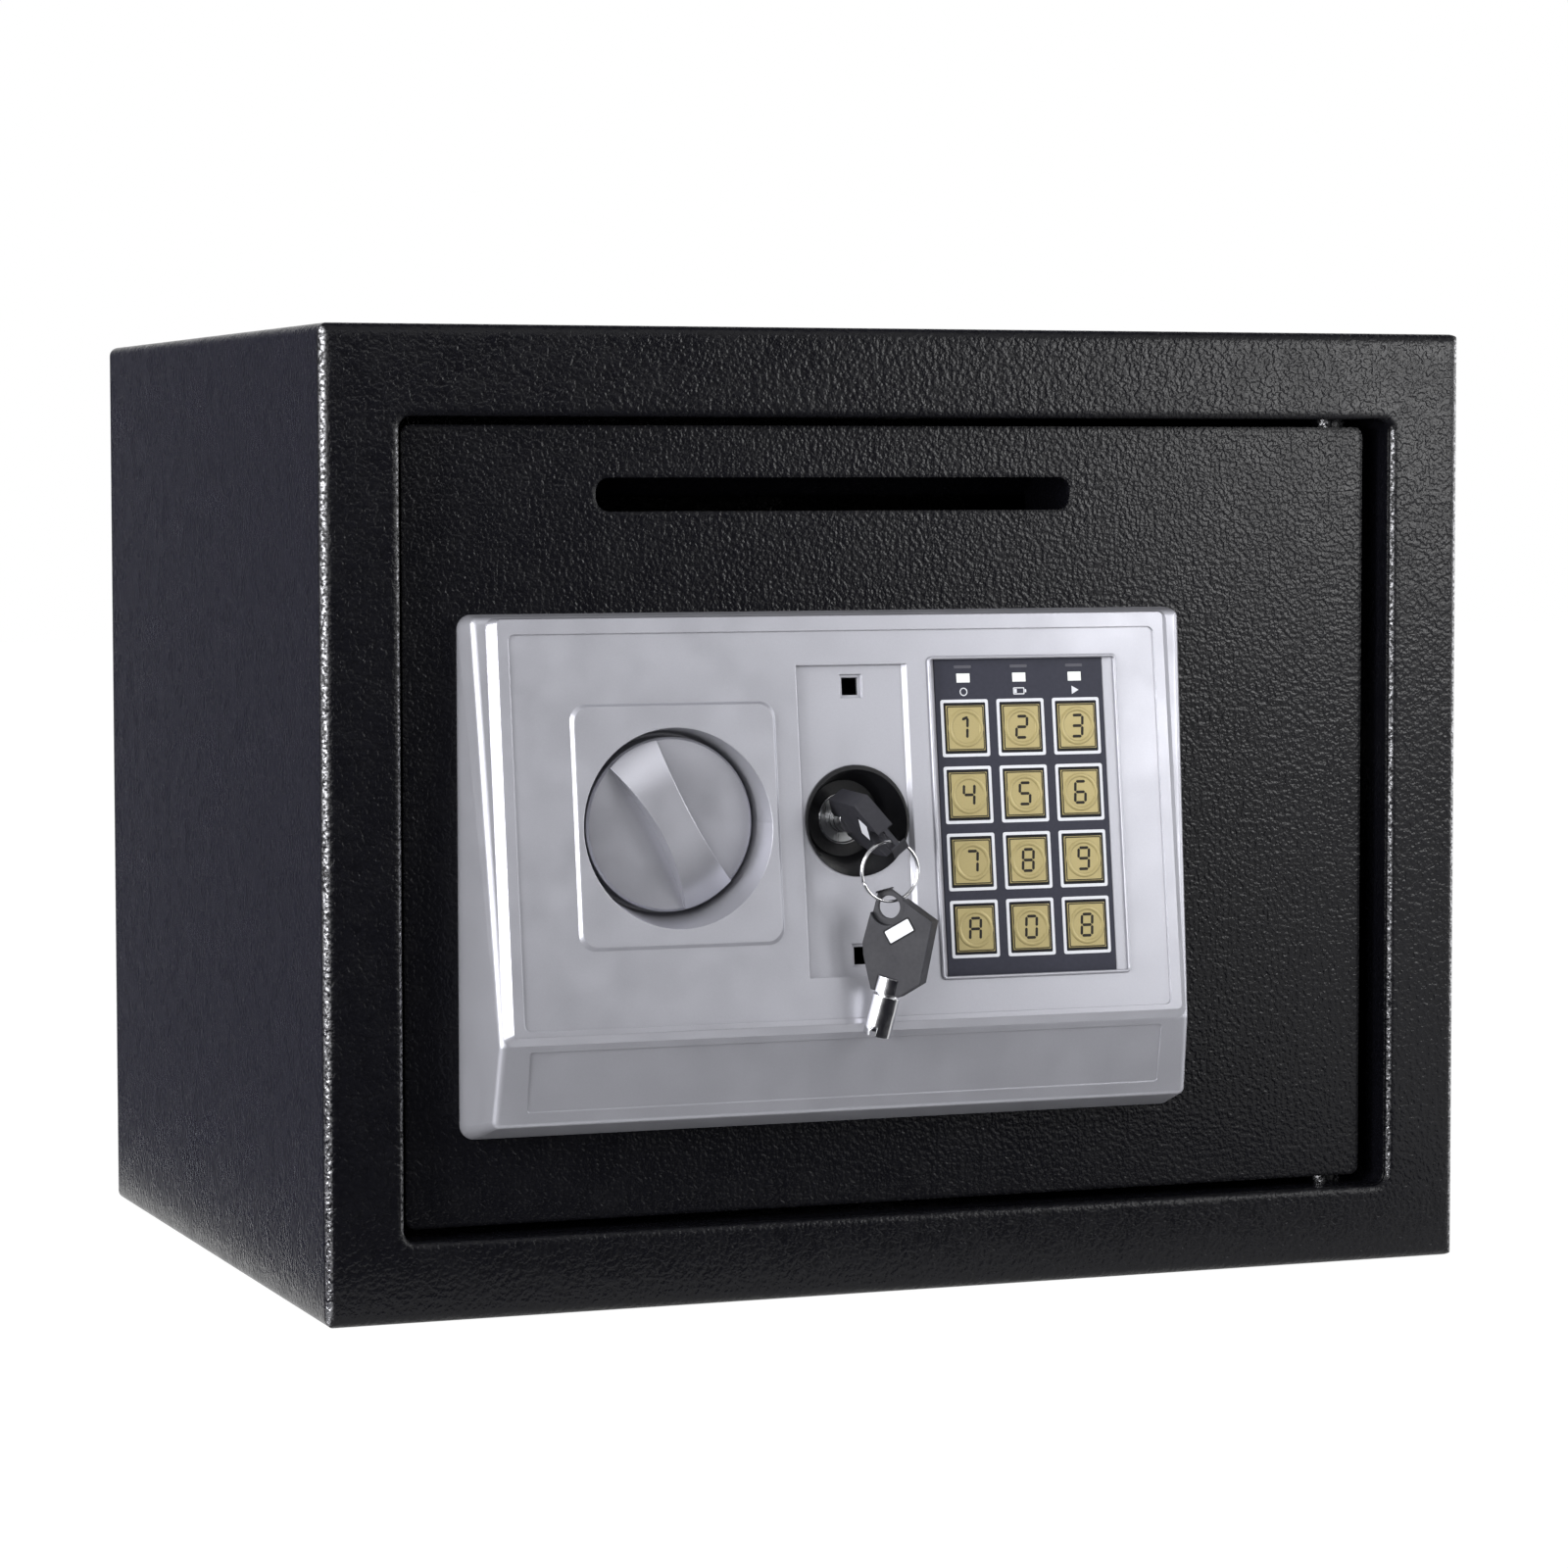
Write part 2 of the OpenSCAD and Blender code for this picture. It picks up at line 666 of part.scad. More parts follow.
module back_cover() {
    lid_edge = lid_over + side_gap;
    color("#26272c") {
        difference() {
            block([tray_x0, tray_y, tray_z0], [tray_x1, tray_y + cover_t, tray_z1]);
            for (p = cover_screw_at) round_y(cover_screw_r + 0.2, p[0], p[1], tray_y - 1, tray_y + cover_t + 1);
            block([box_x0 + box_wall, tray_y - 1, box_z0 + box_wall],
                [box_x1 - box_wall, tray_y + cover_t + 1, box_z1 - box_wall]);
            round_y(reset_r + side_gap, reset_x, reset_z, tray_y - 1, tray_y + cover_t + 1);
        }
        lid_rail(box_x0 - lid_edge, -1);
        lid_rail(box_x1 + lid_edge, 1);
    }
}

module cover_screws() {
    color("silver") for (p = cover_screw_at) {
        round_y(cover_screw_r + 1.6, p[0], p[1], tray_y + cover_t, tray_y + cover_t + 1.8);
        round_y(cover_screw_r, p[0], p[1], tray_y - cover_screw_len, tray_y + cover_t);
    }
}

// The chute behind the slot: a floor that falls away to the rear, a roof, a bent baffle and two cheeks
module slot_chute() {
    x0 = slot_x0 - chute_margin;
    x1 = slot_x1 + chute_margin;
    y1 = rear_y + chute_depth;
    z0 = slot_z0 - chute_margin;
    z1 = slot_z1 + chute_margin;
    color("#1b1c20") {
        translate([x0, 0, 0]) rotate([90, 0, 90]) linear_extrude(x1 - x0)
            polygon([[rear_y, z0], [rear_y, z0 - chute_t], [y1, z0 - chute_drop - chute_t],
                [y1, z0 - chute_drop]]);
        translate([x0, 0, 0]) rotate([90, 0, 90]) linear_extrude(x1 - x0)
            polygon([[rear_y, z1], [rear_y, z1 + chute_t], [y1 - 8, z1 + chute_t], [y1, z1 - 5],
                [y1, z1 - 7], [y1 - 8.6, z1]]);
        for (x = [x0 - chute_t, x1]) translate([x, 0, 0]) rotate([90, 0, 90]) linear_extrude(chute_t)
            polygon([[rear_y, z0 - chute_t], [y1, z0 - chute_drop - chute_t], [y1, z1 - 5],
                [y1 - 8, z1 + chute_t], [rear_y, z1 + chute_t]]);
    }
}

module hinge_ears() {
    color("#1b1c20") for (z = [ear_low_z, ear_high_z - ear_t]) difference() {
        union() {
            block([hinge_x - ear_half, rear_y, z], [hinge_x + ear_half, hinge_y, z + ear_t]);
            translate([hinge_x, hinge_y, z]) cylinder(r = ear_half, h = ear_t);
        }
        translate([hinge_x, hinge_y, z - 1]) cylinder(r = bush_r, h = ear_t + 2);
        block([hinge_x - big, rear_y - big, z - 1], [hinge_x + big, rear_y, z + ear_t + 1]);
    }
}

module hinge_bush() {
    difference() {
        union() {
            translate([0, 0, -flange_t]) intersection() {
                cylinder(r = flange_r, h = flange_t);
                block([-flange_r, rear_y - hinge_y, -1], [flange_r, flange_r, flange_t + 1]);
            }
            cylinder(r = bush_r, h = ear_t);
        }
        translate([0, 0, -flange_t - 1]) cylinder(r = pin_r + pin_clear, h = ear_t + flange_t + 2);
    }
}

module hinge_bushes() {
    color("goldenrod") {
        translate([hinge_x, hinge_y, ear_low_z]) hinge_bush();
        translate([hinge_x, hinge_y, ear_high_z]) mirror([0, 0, 1]) hinge_bush();
    }
}

module bolt_guides() {
    x0 = tray_x0 + tray_t;
    color("ivory") for (z = [axis_z - bolt_spread / 2, axis_z + bolt_spread / 2])
        translate([x0, bolt_y, z]) rotate([0, 90, 0]) difference() {
            cylinder(r = bolt_r + guide_wall, h = guide_t);
            translate([0, 0, -1]) cylinder(r = bolt_r + bolt_clear, h = guide_t + 2);
        }
}

// Shoulder screws that stand on the door plate and pass through the bar's slots
module bar_screws() {
    color("silver") for (z = [axis_z - guide_spread / 2, axis_z + guide_spread / 2]) {
        round_y(guide_post_r, guide_x, z, rear_y, bar_back + side_gap);
        round_y(guide_post_r + 2.2, guide_x, z, bar_back + side_gap, bar_back + side_gap + 2);
        round_y(guide_post_r + 2.2, guide_x, z, rear_y, bar_front - side_gap);
    }
}

// A ball that rounds one corner of the housing
module corner_ball(x, p, z) {
    translate([x, door_y - p, z]) sphere(r = panel_edge_r, $fn = 32);
}

// The housing's outer form: hulls over balls at its eight raised corners and discs at its foot
module housing_form() {
    r = panel_edge_r;
    foot_r = 4.5;
    hull() {
        for (x = [panel_x0 + foot_r, panel_x1 - foot_r], z = [panel_z0 + foot_r, panel_z1 - foot_r])
            round_y(foot_r, x, z, door_y - 1, door_y);
        for (c = [[panel_top_p, top_z, -1], [panel_ridge_p, ridge_z, 0], [panel_low_p, low_z, 1]], s = [0, 1]) {
            lean = side_draft * c[0] + r;
            corner_ball(s == 0 ? panel_x0 + lean : panel_x1 - lean, c[0] - r, c[1] + c[2] * r);
        }
    }
}

// The housing's hollow, a wall inside its form
module housing_hollow() {
    w = panel_wall;
    inside = [door_y - panel_ridge_p + w * cos(tilt), ridge_z - w * sin(tilt)];
    up_face = [sin(tilt), cos(tilt)];
    reach = panel_ridge_p + plate_h + 3;
    intersection() {
        translate([panel_x0, 0, 0]) rotate([90, 0, 90]) linear_extrude(panel_w) polygon([
            [door_y + 1, panel_z0 + w], [door_y - panel_low_p + w, low_z + w], inside,
            inside + up_face * (face_len - 2), [door_y + 1, panel_z1 - 2 * w]]);
        linear_extrude(body_h) polygon([
            [panel_x0 + w, door_y + 1], [panel_x0 + w + side_draft * reach, door_y - reach],
            [panel_x1 - w - side_draft * reach, door_y - reach], [panel_x1 - w, door_y + 1]]);
    }
}

module raised_plate() {
    x0 = panel_xc - plate_w / 2;
    x1 = panel_xc + plate_w / 2;
    c = plate_h;
    on_face() hull() {
        slab_y(-0.01, 2) rounded(x0, x1, 0, plate_top, 3);
        slab_y(plate_front, plate_front + 0.01) rounded(x0 + c, x1 - c, c, plate_top - c / 4, 1.5);
    }
}

// The knob's well, a cone about the spindle that opens at the face
module knob_well() {
    floor_p = 2;
    floor_r = knob_r + knob_gap;
    slope = (well_r - floor_r) / (panel_ridge_p - row_up * sin(tilt) + plate_h - floor_p);
    reach = panel_ridge_p + 5 - floor_p;
    translate([knob_x, door_y - floor_p, axis_z]) rotate([90, 0, 0])
        cylinder(r1 = floor_r, r2 = floor_r + slope * reach, h = reach);
}

module keypad_recess() {
    on_face() translate([0, 0, keypad_z0]) linear_extrude(keypad_h) polygon([
        [keypad_x0, plate_front - 3], [keypad_x0, plate_front], [overlay_x0, keypad_floor],
        [overlay_x1, keypad_floor], [keypad_x1, plate_front], [keypad_x1, plate_front - 3]]);
}

// Runs its children once for each key: column and row from the lower left, at the key's middle
module at_keys() {
    for (col = [0:2], row = [0:3]) at_key(col, row) children();
}

module at_key(col, row) {
    on_face() translate([overlay_xc + (col - 1) * key_pitch_x, 0, keypad_z0 + key_row_up + row * key_pitch_z])
        children();
}

module at_leds() {
    on_face() for (col = [-1:1]) translate([overlay_xc + col * key_pitch_x, 0, led_z]) children();
}

module key_window(front, back) {
    block([-key_w / 2 - key_clear, front, -key_h / 2 - key_clear],
        [key_w / 2 + key_clear, back, key_h / 2 + key_clear]);
}

module led_block(front, back) {
    block([-led_w / 2, front, -led_h / 2], [led_w / 2, back, led_h / 2]);
}

// Outline of the shallow inset on the raised plate
module main_inset() {
    half = plate_w / 2 - plate_h - inset_margin;
    in = plate_h + inset_margin / 2;
    rounded(panel_xc - half, panel_xc + half, in, plate_top - 1.5 * inset_margin, 2);
}

// Outline of the square frame round the knob
module knob_square(out) {
    rounded(knob_x - knob_square_w / 2 - out, knob_x + knob_square_w / 2 + out,
        row_up - knob_square_h / 2 - out, row_up + knob_square_h / 2 + out, 5);
}

// The square clip holes at the top and bottom of the key channel, each with a ledge half way through the skin
module clip_holes() {
    inner = clip_hole / 2 - clip_ledge;
    on_face() for (z = [row_up - clip_pitch / 2, row_up + clip_pitch / 2]) {
        block([lock_x - clip_hole / 2, channel_floor - 1, z - clip_hole / 2],
            [lock_x + clip_hole / 2, channel_floor + skin / 2, z + clip_hole / 2]);
        block([lock_x - inner, channel_floor, z - inner], [lock_x + inner, channel_floor + skin + 1, z + inner]);
    }
}

// The key channel, whose right wall slopes
module key_channel() {
    x0 = lock_x - channel_w / 2;
    x1 = lock_x + channel_w / 2;
    run = min(channel_slope, channel_w / 2 - cup_out);
    on_face() translate([0, 0, row_up - channel_h / 2]) linear_extrude(channel_h) polygon([[x0, plate_front - 1],
        [x0, channel_floor], [x1 - run, channel_floor], [x1, plate_front], [x1, plate_front - 1]]);
}

module panel_housing() {
    color("#b9bac0") difference() {
        union() {
            difference() {
                union() {
                    housing_form();
                    raised_plate();
                }
                housing_hollow();
                on_face() slab_y(plate_front - 1, plate_front + inset_depth) main_inset();
            }
            intersection() {
                housing_form();
                union() {
                    round_y(well_r + 1.5, knob_x, axis_z, door_y - big, door_y);
                    round_y(cup_out + 2, lock_x, axis_z, door_y - big, door_y);
                    on_face() block([lock_x - channel_w / 2 - skin, -1, row_up - channel_h / 2 - skin],
                        [lock_x + channel_w / 2 + skin, channel_floor + skin, row_up + channel_h / 2 + skin]);
                    for (p = housing_screw_at) round_y(boss_r, p[0], p[1], door_y - big, door_y);
                    on_face() for (x = [overlay_x0 + 2, overlay_x1 - 2], z = [keypad_z0 + 2.5, keypad_z1 - 2.5])
                        translate([x, board_front, z]) rotate([90, 0, 0]) cylinder(r = 2, h = board_front);
                }
            }
            on_face() hull() {
                slab_y(plate_front + inset_depth, 0) knob_square(square_slope);
                slab_y(plate_front - inset_depth, plate_front) knob_square(0);
            }
        }
        block([panel_x0 - 1, door_y, panel_z0 - 1], [panel_x1 + 1, door_y + big, panel_z1 + 1]);
        on_fascia() slab_y(-1, inset_depth) rounded(panel_x0 + 15, panel_x1 - 15, -low_len + 5, -2, 1);
        knob_well();
        round_y(spindle_r + 1.5, knob_x, axis_z, door_y - 3, door_y + 1);
        key_channel();
        round_y(cup_out, lock_x, axis_z, door_y - big, door_y + 1);
        clip_holes();
        keypad_recess();
        at_keys() key_window(plate_front, housing_back + 1);
        at_leds() led_block(plate_front, housing_back + 1);
        for (p = housing_screw_at) round_y(housing_screw_r, p[0], p[1], door_y - boss_p + 1, door_y + 1);
    }
}

module housing_screws() {
    color("silver") for (p = housing_screw_at) {
        round_y(housing_screw_r, p[0], p[1], door_y - boss_p + 1, rear_y);
        round_y(housing_screw_r + 1.5, p[0], p[1], rear_y, rear_y + 1.6);
    }
}

module keypad_overlay() {
    color("#2f3440") difference() {
        on_face() block([overlay_x0, overlay_front, keypad_z0], [overlay_x1, keypad_floor, keypad_z1]);
        at_keys() key_window(overlay_front - 1, keypad_floor + 1);
        at_leds() led_block(overlay_front - 1, keypad_floor + 1);
    }
}

module circuit_board() {
    color("darkgreen") {
        on_face() block([overlay_x0, board_front, keypad_z0], [overlay_x1, board_front + board_t, keypad_z1]);
        at_keys() translate([0, board_front, 0]) rotate([90, 0, 0]) cylinder(r = 4, h = dome_h);
    }
}

module led_windows() {
    color("white") at_leds() led_block(overlay_front - 0.2, board_front);
}

// The black cup round the lock: a cone that narrows to the lock's face, cut level with the channel floor
module lock_cup() {
    mouth = panel_ridge_p;
    slope = (cup_r - lock_face_r) / (panel_ridge_p - row_up * sin(tilt) - channel_floor - lock_face_p);
    reach = mouth - lock_face_p;
    color("#141416") difference() {
        round_y(cup_out, lock_x, axis_z, door_y - mouth, door_y);
        translate([lock_x, face_y, axis_z]) rotate([90, 0, 0])
            cylinder(r1 = lock_face_r + 0.1, r2 = lock_face_r + 0.1 + slope * reach, h = reach);
        round_y(lock_face_r + 0.1, lock_x, axis_z, face_y - 0.1, face_y + 2.3);
        round_y(barrel_r + 0.1, lock_x, axis_z, face_y, door_y + 1);
        on_face() block([lock_x - big / 5, plate_front - big, row_up - big / 5],
            [lock_x + big / 5, channel_floor - 0.6, row_up + big / 5]);
    }
}

module lock_barrel() {
    color("#2a2a2e") difference() {
        union() {
            round_y(lock_face_r, lock_x, axis_z, face_y, face_y + 2.2);
            round_y(barrel_r, lock_x, axis_z, face_y, barrel_y);
        }
        round_y(plug_r + plug_clear, lock_x, axis_z, face_y - 1, barrel_y + 1);
    }
}

module lock_nut() {
    color("silver") difference() {
        translate([lock_x, rear_y + 3.5, axis_z]) rotate([90, 0, 0])
            cylinder(r = barrel_r + 4.5, h = 3.5, $fn = 6);
        round_y(barrel_r, lock_x, axis_z, rear_y - 1, rear_y + 5);
    }
}

module spindle_bush() {
    color("ivory") difference() {
        union() {
            round_y(spindle_r + spindle_clear + 2, knob_x, axis_z, door_y, rear_y);
            round_y(spindle_r + spindle_clear + 4, knob_x, axis_z, rear_y, disc_y1 - disc_t - side_gap);
        }
        round_y(spindle_r + spindle_clear, knob_x, axis_z, door_y - 1, disc_y1);
    }
}

module solenoid_frame() {
    x0 = plunger_x - sol_half;
    x1 = plunger_x + sol_half;
    y1 = bolt_y + sol_half - 1;
    color("silver") difference() {
        union() {
            block([x0, rear_y, sol_z0 - 4], [x1, rear_y + sol_t, sol_z1 + 6]);
            for (z = [sol_z0, sol_z1 - sol_t]) block([x0, rear_y, z], [x1, y1, z + sol_t]);
        }
        translate([plunger_x, bolt_y, sol_z0 - 1]) cylinder(r = plunger_r + plunger_clear, h = sol_t + 2);
    }
}

module solenoid_coil() {
    color("firebrick") translate([plunger_x, bolt_y, sol_z0 + sol_t]) difference() {
        cylinder(r = coil_r, h = coil_len);
        translate([0, 0, -1]) cylinder(r = plunger_r + plunger_clear, h = coil_len + 2);
    }
}

module battery_box() {
    color("#202024") difference() {
        block([box_x0, tray_y - box_depth, box_z0], [box_x1, tray_y, box_z1]);
        block([box_x0 + box_wall, tray_y - box_depth + box_wall, box_z0 + box_wall],
            [box_x1 - box_wall, tray_y + 1, box_z1 - box_wall]);
    }
}

module batteries() {
    x0 = (box_x0 + box_x1 - cell_len) / 2;
    color("#c8a23c") for (i = [0:cells - 1]) translate([x0, tray_y - box_depth + box_wall + cell_r + side_gap,
            box_z0 + box_wall + (i + 0.5) * cell_pitch]) rotate([0, 90, 0]) {
        cylinder(r = cell_r, h = cell_len - 1);
        cylinder(r = 2.6, h = cell_len);
    }
}

module reset_switch() {
    color("#202024") difference() {
        round_y(reset_r + 4.4, reset_x, reset_z, tray_y - 12, tray_y);
        round_y(reset_r + 2.6, reset_x, reset_z, tray_y - 4.3 - reset_travel, tray_y + 1);
    }
}

// Bolt work

module bolt_bar() {
    arm_x1 = plunger_x + bolt_throw + notch_w / 2 + 6;
    pin_z = axis_z + crank_r * cos(45);
    low_arm = arm_top_z - arm_h;
    color("#8f9298") difference() {
        slab_y(bar_front, bar_back) {
            translate([bar_x0, axis_z - bolt_spread / 2 - bar_over])
                square([bar_x1 - bar_x0, bolt_spread + 2 * bar_over]);
            translate([bar_x1 - 1, axis_z - 2]) square([knob_x + crank_dx + crank_slot_r + 5 - bar_x1, 24]);
            translate([bar_x1 - 1, low_arm]) square([arm_x1 - bar_x1 + 1, arm_h]);
        }
        slab_y(bar_front - 1, bar_back + 1) {
            translate([knob_x + crank_dx - crank_slot_r, pin_z])
                square([2 * crank_slot_r, crank_r - crank_r * cos(45)]);
            for (z = [pin_z, axis_z + crank_r]) translate([knob_x + crank_dx, z]) circle(crank_slot_r);
            for (z = [axis_z - guide_spread / 2, axis_z + guide_spread / 2])
                slot_x(guide_x - guide_slot_r, guide_x + bolt_throw + guide_slot_r, z, guide_slot_r);
            translate([plunger_x + bolt_throw - notch_w / 2, arm_top_z - 5]) square([notch_w, 6]);
        }
    }
}

module live_bolts() {
    chamfer = 1.2;
    color("silver") for (z = [axis_z - bolt_spread / 2, axis_z + bolt_spread / 2]) difference() {
        translate([bolt_tip_x, bolt_y, z]) rotate([0, 90, 0]) {
            cylinder(r1 = bolt_r - chamfer, r2 = bolt_r, h = chamfer);
            translate([0, 0, chamfer]) cylinder(r = bolt_r, h = bolt_len - chamfer);
        }
        block([bar_x0, bar_front, z - bolt_r - 1], [bolt_end_x + 1, bar_back, z + bolt_r + 1]);
    }
}

// Knob and its drive

module knob_profile() {
    reach = knob_r + 2;
    end_half = grip_end_w / 2;
    waist = (grip_end_w - grip_mid_w) / 2;
    waist_r = (knob_r * knob_r + waist * waist) / (2 * waist);
    rise_r = (knob_r * knob_r + grip_rise * grip_rise) / (2 * grip_rise);
    intersection() {
        translate([0, 0, -0.01]) cylinder(r = knob_r - 0.4, h = grip_rise + 1);
        translate([-reach, 0, grip_rise - rise_r]) rotate([0, 90, 0])
            cylinder(r = rise_r, h = 2 * reach, $fn = 160);
        difference() {
            translate([-end_half, -reach, -0.01]) cube([grip_end_w, 2 * reach, grip_rise + 2]);
            for (s = [-1, 1]) translate([s * (grip_mid_w / 2 + waist_r), 0, -1])
                cylinder(r = waist_r, h = grip_rise + 4, $fn = 160);
        }
    }
}

module knob() {
    back_p = 3;
    edge = 0.8;
    color("#b4b5ba") translate([knob_x, door_y, axis_z]) rotate([90, 0, 0]) difference() {
        union() {
            translate([0, 0, back_p]) cylinder(r = knob_r, h = knob_face_p - back_p - edge);
            translate([0, 0, knob_face_p - edge]) cylinder(r1 = knob_r, r2 = knob_r - edge, h = edge);
            translate([0, 0, knob_face_p]) rotate([0, 0, grip_lean]) knob_profile();
        }
        translate([0, 0, back_p - 1]) cylinder(r = spindle_r, h = knob_face_p - back_p - 1);
    }
}

module knob_spindle() {
    color("silver") round_y(spindle_r, knob_x, axis_z, door_y - knob_face_p + 2, disc_y1);
}

module crank_disc() {
    color("#8f9298") {
        difference() {
            round_y(crank_disc_r, knob_x, axis_z, disc_y1 - disc_t, disc_y1);
            round_y(spindle_r, knob_x, axis_z, disc_y1 - disc_t - 1, disc_y1 + 1);
        }
        round_y(crank_pin_d / 2, knob_x + crank_dx, axis_z + crank_r * cos(45), disc_y1, bar_back + 1.5);
    }
}

module spindle_screw() {
    color("silver") round_y(spindle_r + 1, knob_x, axis_z, disc_y1, disc_y1 + 1.8);
}

// Lock plug and its cam

module lock_plug() {
    front = face_y + plug_face;
    color("#55565c") difference() {
        union() {
            round_y(plug_r, lock_x, axis_z, front, barrel_y);
            round_y(tail_r, lock_x, axis_z, barrel_y, cam_y0 + cam_t + nut_t);
        }
        difference() {
            round_y(tube_r + tube_clear, lock_x, axis_z, front - 1, front + groove_depth);
            round_y(tube_bore_r - tube_clear, lock_x, axis_z, front - 2, front + groove_depth + 1);
        }
    }
}

module lock_cam() {
    color("#8f9298") difference() {
        round_y(cam_r, lock_x, axis_z - cam_throw, cam_y0, cam_y0 + cam_t);
        round_y(tail_r, lock_x, axis_z, cam_y0 - 1, cam_y0 + cam_t + 1);
    }
}

module cam_nut() {
    color("silver") difference() {
        translate([lock_x, cam_y0 + cam_t + nut_t, axis_z]) rotate([90, 0, 0])
            cylinder(r = cam_nut_r, h = nut_t, $fn = 6);
        round_y(tail_r, lock_x, axis_z, cam_y0 + cam_t - 1, cam_y0 + cam_t + nut_t + 1);
    }
}

// Plunger of the solenoid, resting just above the bolt bar's arm

module plunger() {
    z0 = arm_top_z + side_gap;
    color("silver") translate([plunger_x, bolt_y, z0]) cylinder(r = plunger_r, h = plunger_top - z0);
}

module lift_plate() {
    color("#8f9298") difference() {
        block([lock_x - cam_r - 2, cam_y0, plate_z0],
            [plunger_x + plunger_r + 2, bolt_y + plunger_r + 1, plate_z0 + lift_t]);
        translate([plunger_x, bolt_y, plate_z0 - 1]) cylinder(r = plunger_r, h = lift_t + 2);
    }
}

module plunger_spring() {
    color("gray") translate([plunger_x, bolt_y, plate_z0 + lift_t]) difference() {
        cylinder(r = plunger_r + 2, h = sol_z0 - plate_z0 - lift_t);
        translate([0, 0, -1]) cylinder(r = plunger_r + 0.5, h = sol_z0 - plate_z0 - lift_t + 2);
    }
}

// Keys

// A key's plastic bow, foot at the origin and standing up along Z, with its faces square to Y
module key_bow() {
    difference() {
        slab_y(-bow_t / 2, bow_t / 2) polygon(bow_pts);
        round_y(ring_hole_r, hole_at[0], hole_at[1], -bow_t, bow_t);
        for (s = [-1, 1]) round_y(hole_pocket_r, hole_at[0], hole_at[1],
            s > 0 ? web_t / 2 : -bow_t, s > 0 ? bow_t : -web_t / 2);
        translate([0, 0, -1]) cylinder(r = tube_r, h = 6);
    }
}

// A key's tube, from inside the bow down past its foot, with a neck under the bow and a notch at its end
module key_tube() {
    end_wall = 1.2;
    difference() {
        translate([0, 0, -tube_len]) cylinder(r = tube_r, h = tube_len + 5);
        translate([0, 0, -tube_len - 1]) cylinder(r = tube_bore_r, h = tube_len + 1 - tube_neck - end_wall);
        translate([-tube_notch_w / 2, -big, -tube_len - 1]) cube([tube_notch_w, big, tube_notch_h + 1]);
        translate([0, 0, -tube_neck]) difference() {
            cylinder(r = tube_r + 1, h = tube_neck);
            translate([0, 0, -1]) cylinder(r = tube_bore_r, h = tube_neck + 2);
        }
    }
}

module in_lock() {
    translate([lock_x, face_y - bow_off, axis_z]) rotate([90, 0, 0]) rotate([0, 0, bow_turn]) children();
}

module on_ring() {
    translate(spare_hole) rotate([0, 0, spare_yaw]) rotate([0, spare_lean, 0])
        translate([-hole_at[0], 0, -hole_at[1]]) children();
}

module door_key_bow() {
    color("#1a1a1c") in_lock() key_bow();
}

module door_key_tube() {
    color("silver") in_lock() key_tube();
}

module key_ring() {
    color("silver") translate([ring_hole[0], ring_hole[1], ring_hole[2] - ring_r]) rotate([90, 0, 0])
        rotate_extrude() translate([ring_r, 0]) circle(wire_r);
}

module spare_key_bow() {
    color("#1a1a1c") on_ring() key_bow();
}

module spare_key_tube() {
    color("silver") on_ring() key_tube();
}

// Small moving parts

module reset_button() {
    color("firebrick") {
        round_y(reset_r, reset_x, reset_z, tray_y - 3.8, tray_y + cover_t + 2.4);
        round_y(reset_r + 1.6, reset_x, reset_z, tray_y - 1.6, tray_y - 0.4);
    }
}

module battery_lid() {
    y0 = tray_y + cover_t + lid_gap;
    color("#26272c") {
        block([box_x0 - lid_over, y0, box_z0 - lid_over], [box_x1 + lid_over, y0 + lid_t, box_z1 + lid_over]);
        for (i = [0:4]) block([(box_x0 + box_x1) / 2 - 10, y0 + lid_t, box_z0 + 4 + 2.4 * i],
            [(box_x0 + box_x1) / 2 + 10, y0 + lid_t + 0.8, box_z0 + 5.2 + 2.4 * i]);
    }
}

// One keypad key: its cap, and the flange that keeps it behind its window
module keypad_key(col, row) {
    color("#c9b26a") at_key(col, row) {
        block([-key_w / 2, key_front, -key_h / 2], [key_w / 2, key_flange + key_flange_t, key_h / 2]);
        block([-key_w / 2 - 1, key_flange, -key_h / 2 - 1],
            [key_w / 2 + 1, key_flange + key_flange_t, key_h / 2 + 1]);
    }
}

body_shell();
back_panel();
frame_return();
strike_bar();
hinge_pins();
floor_mat();
door_plate();
door_tray();
back_cover();
cover_screws();
slot_chute();
hinge_ears();
hinge_bushes();
bolt_guides();
bar_screws();
panel_housing();
housing_screws();
keypad_overlay();
circuit_board();
led_windows();
lock_cup();
lock_barrel();
lock_nut();
spindle_bush();
solenoid_frame();
solenoid_coil();
battery_box();
batteries();
reset_switch();
bolt_bar();
live_bolts();
knob();
knob_spindle();
crank_disc();
spindle_screw();
lock_plug();
lock_cam();
cam_nut();
plunger();
lift_plate();
plunger_spring();
door_key_bow();
door_key_tube();
key_ring();
spare_key_bow();
spare_key_tube();
reset_button();
battery_lid();
keypad_key(0, 3);  // key_1
keypad_key(1, 3);  // key_2
keypad_key(2, 3);  // key_3
keypad_key(0, 2);  // key_4
keypad_key(1, 2);  // key_5
keypad_key(2, 2);  // key_6
keypad_key(0, 1);  // key_7
keypad_key(1, 1);  // key_8
keypad_key(2, 1);  // key_9
keypad_key(0, 0);  // key_a
keypad_key(1, 0);  // key_0
keypad_key(2, 0);  // key_b
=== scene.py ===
# Looks of the electronic safe: materials, printed and trim pieces, light and camera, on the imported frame.
# Sizes are in millimetres and repeat the values of part.scad; mm() turns them into metres.
import json
import math

import bmesh
import bpy
from mathutils import Matrix, Vector


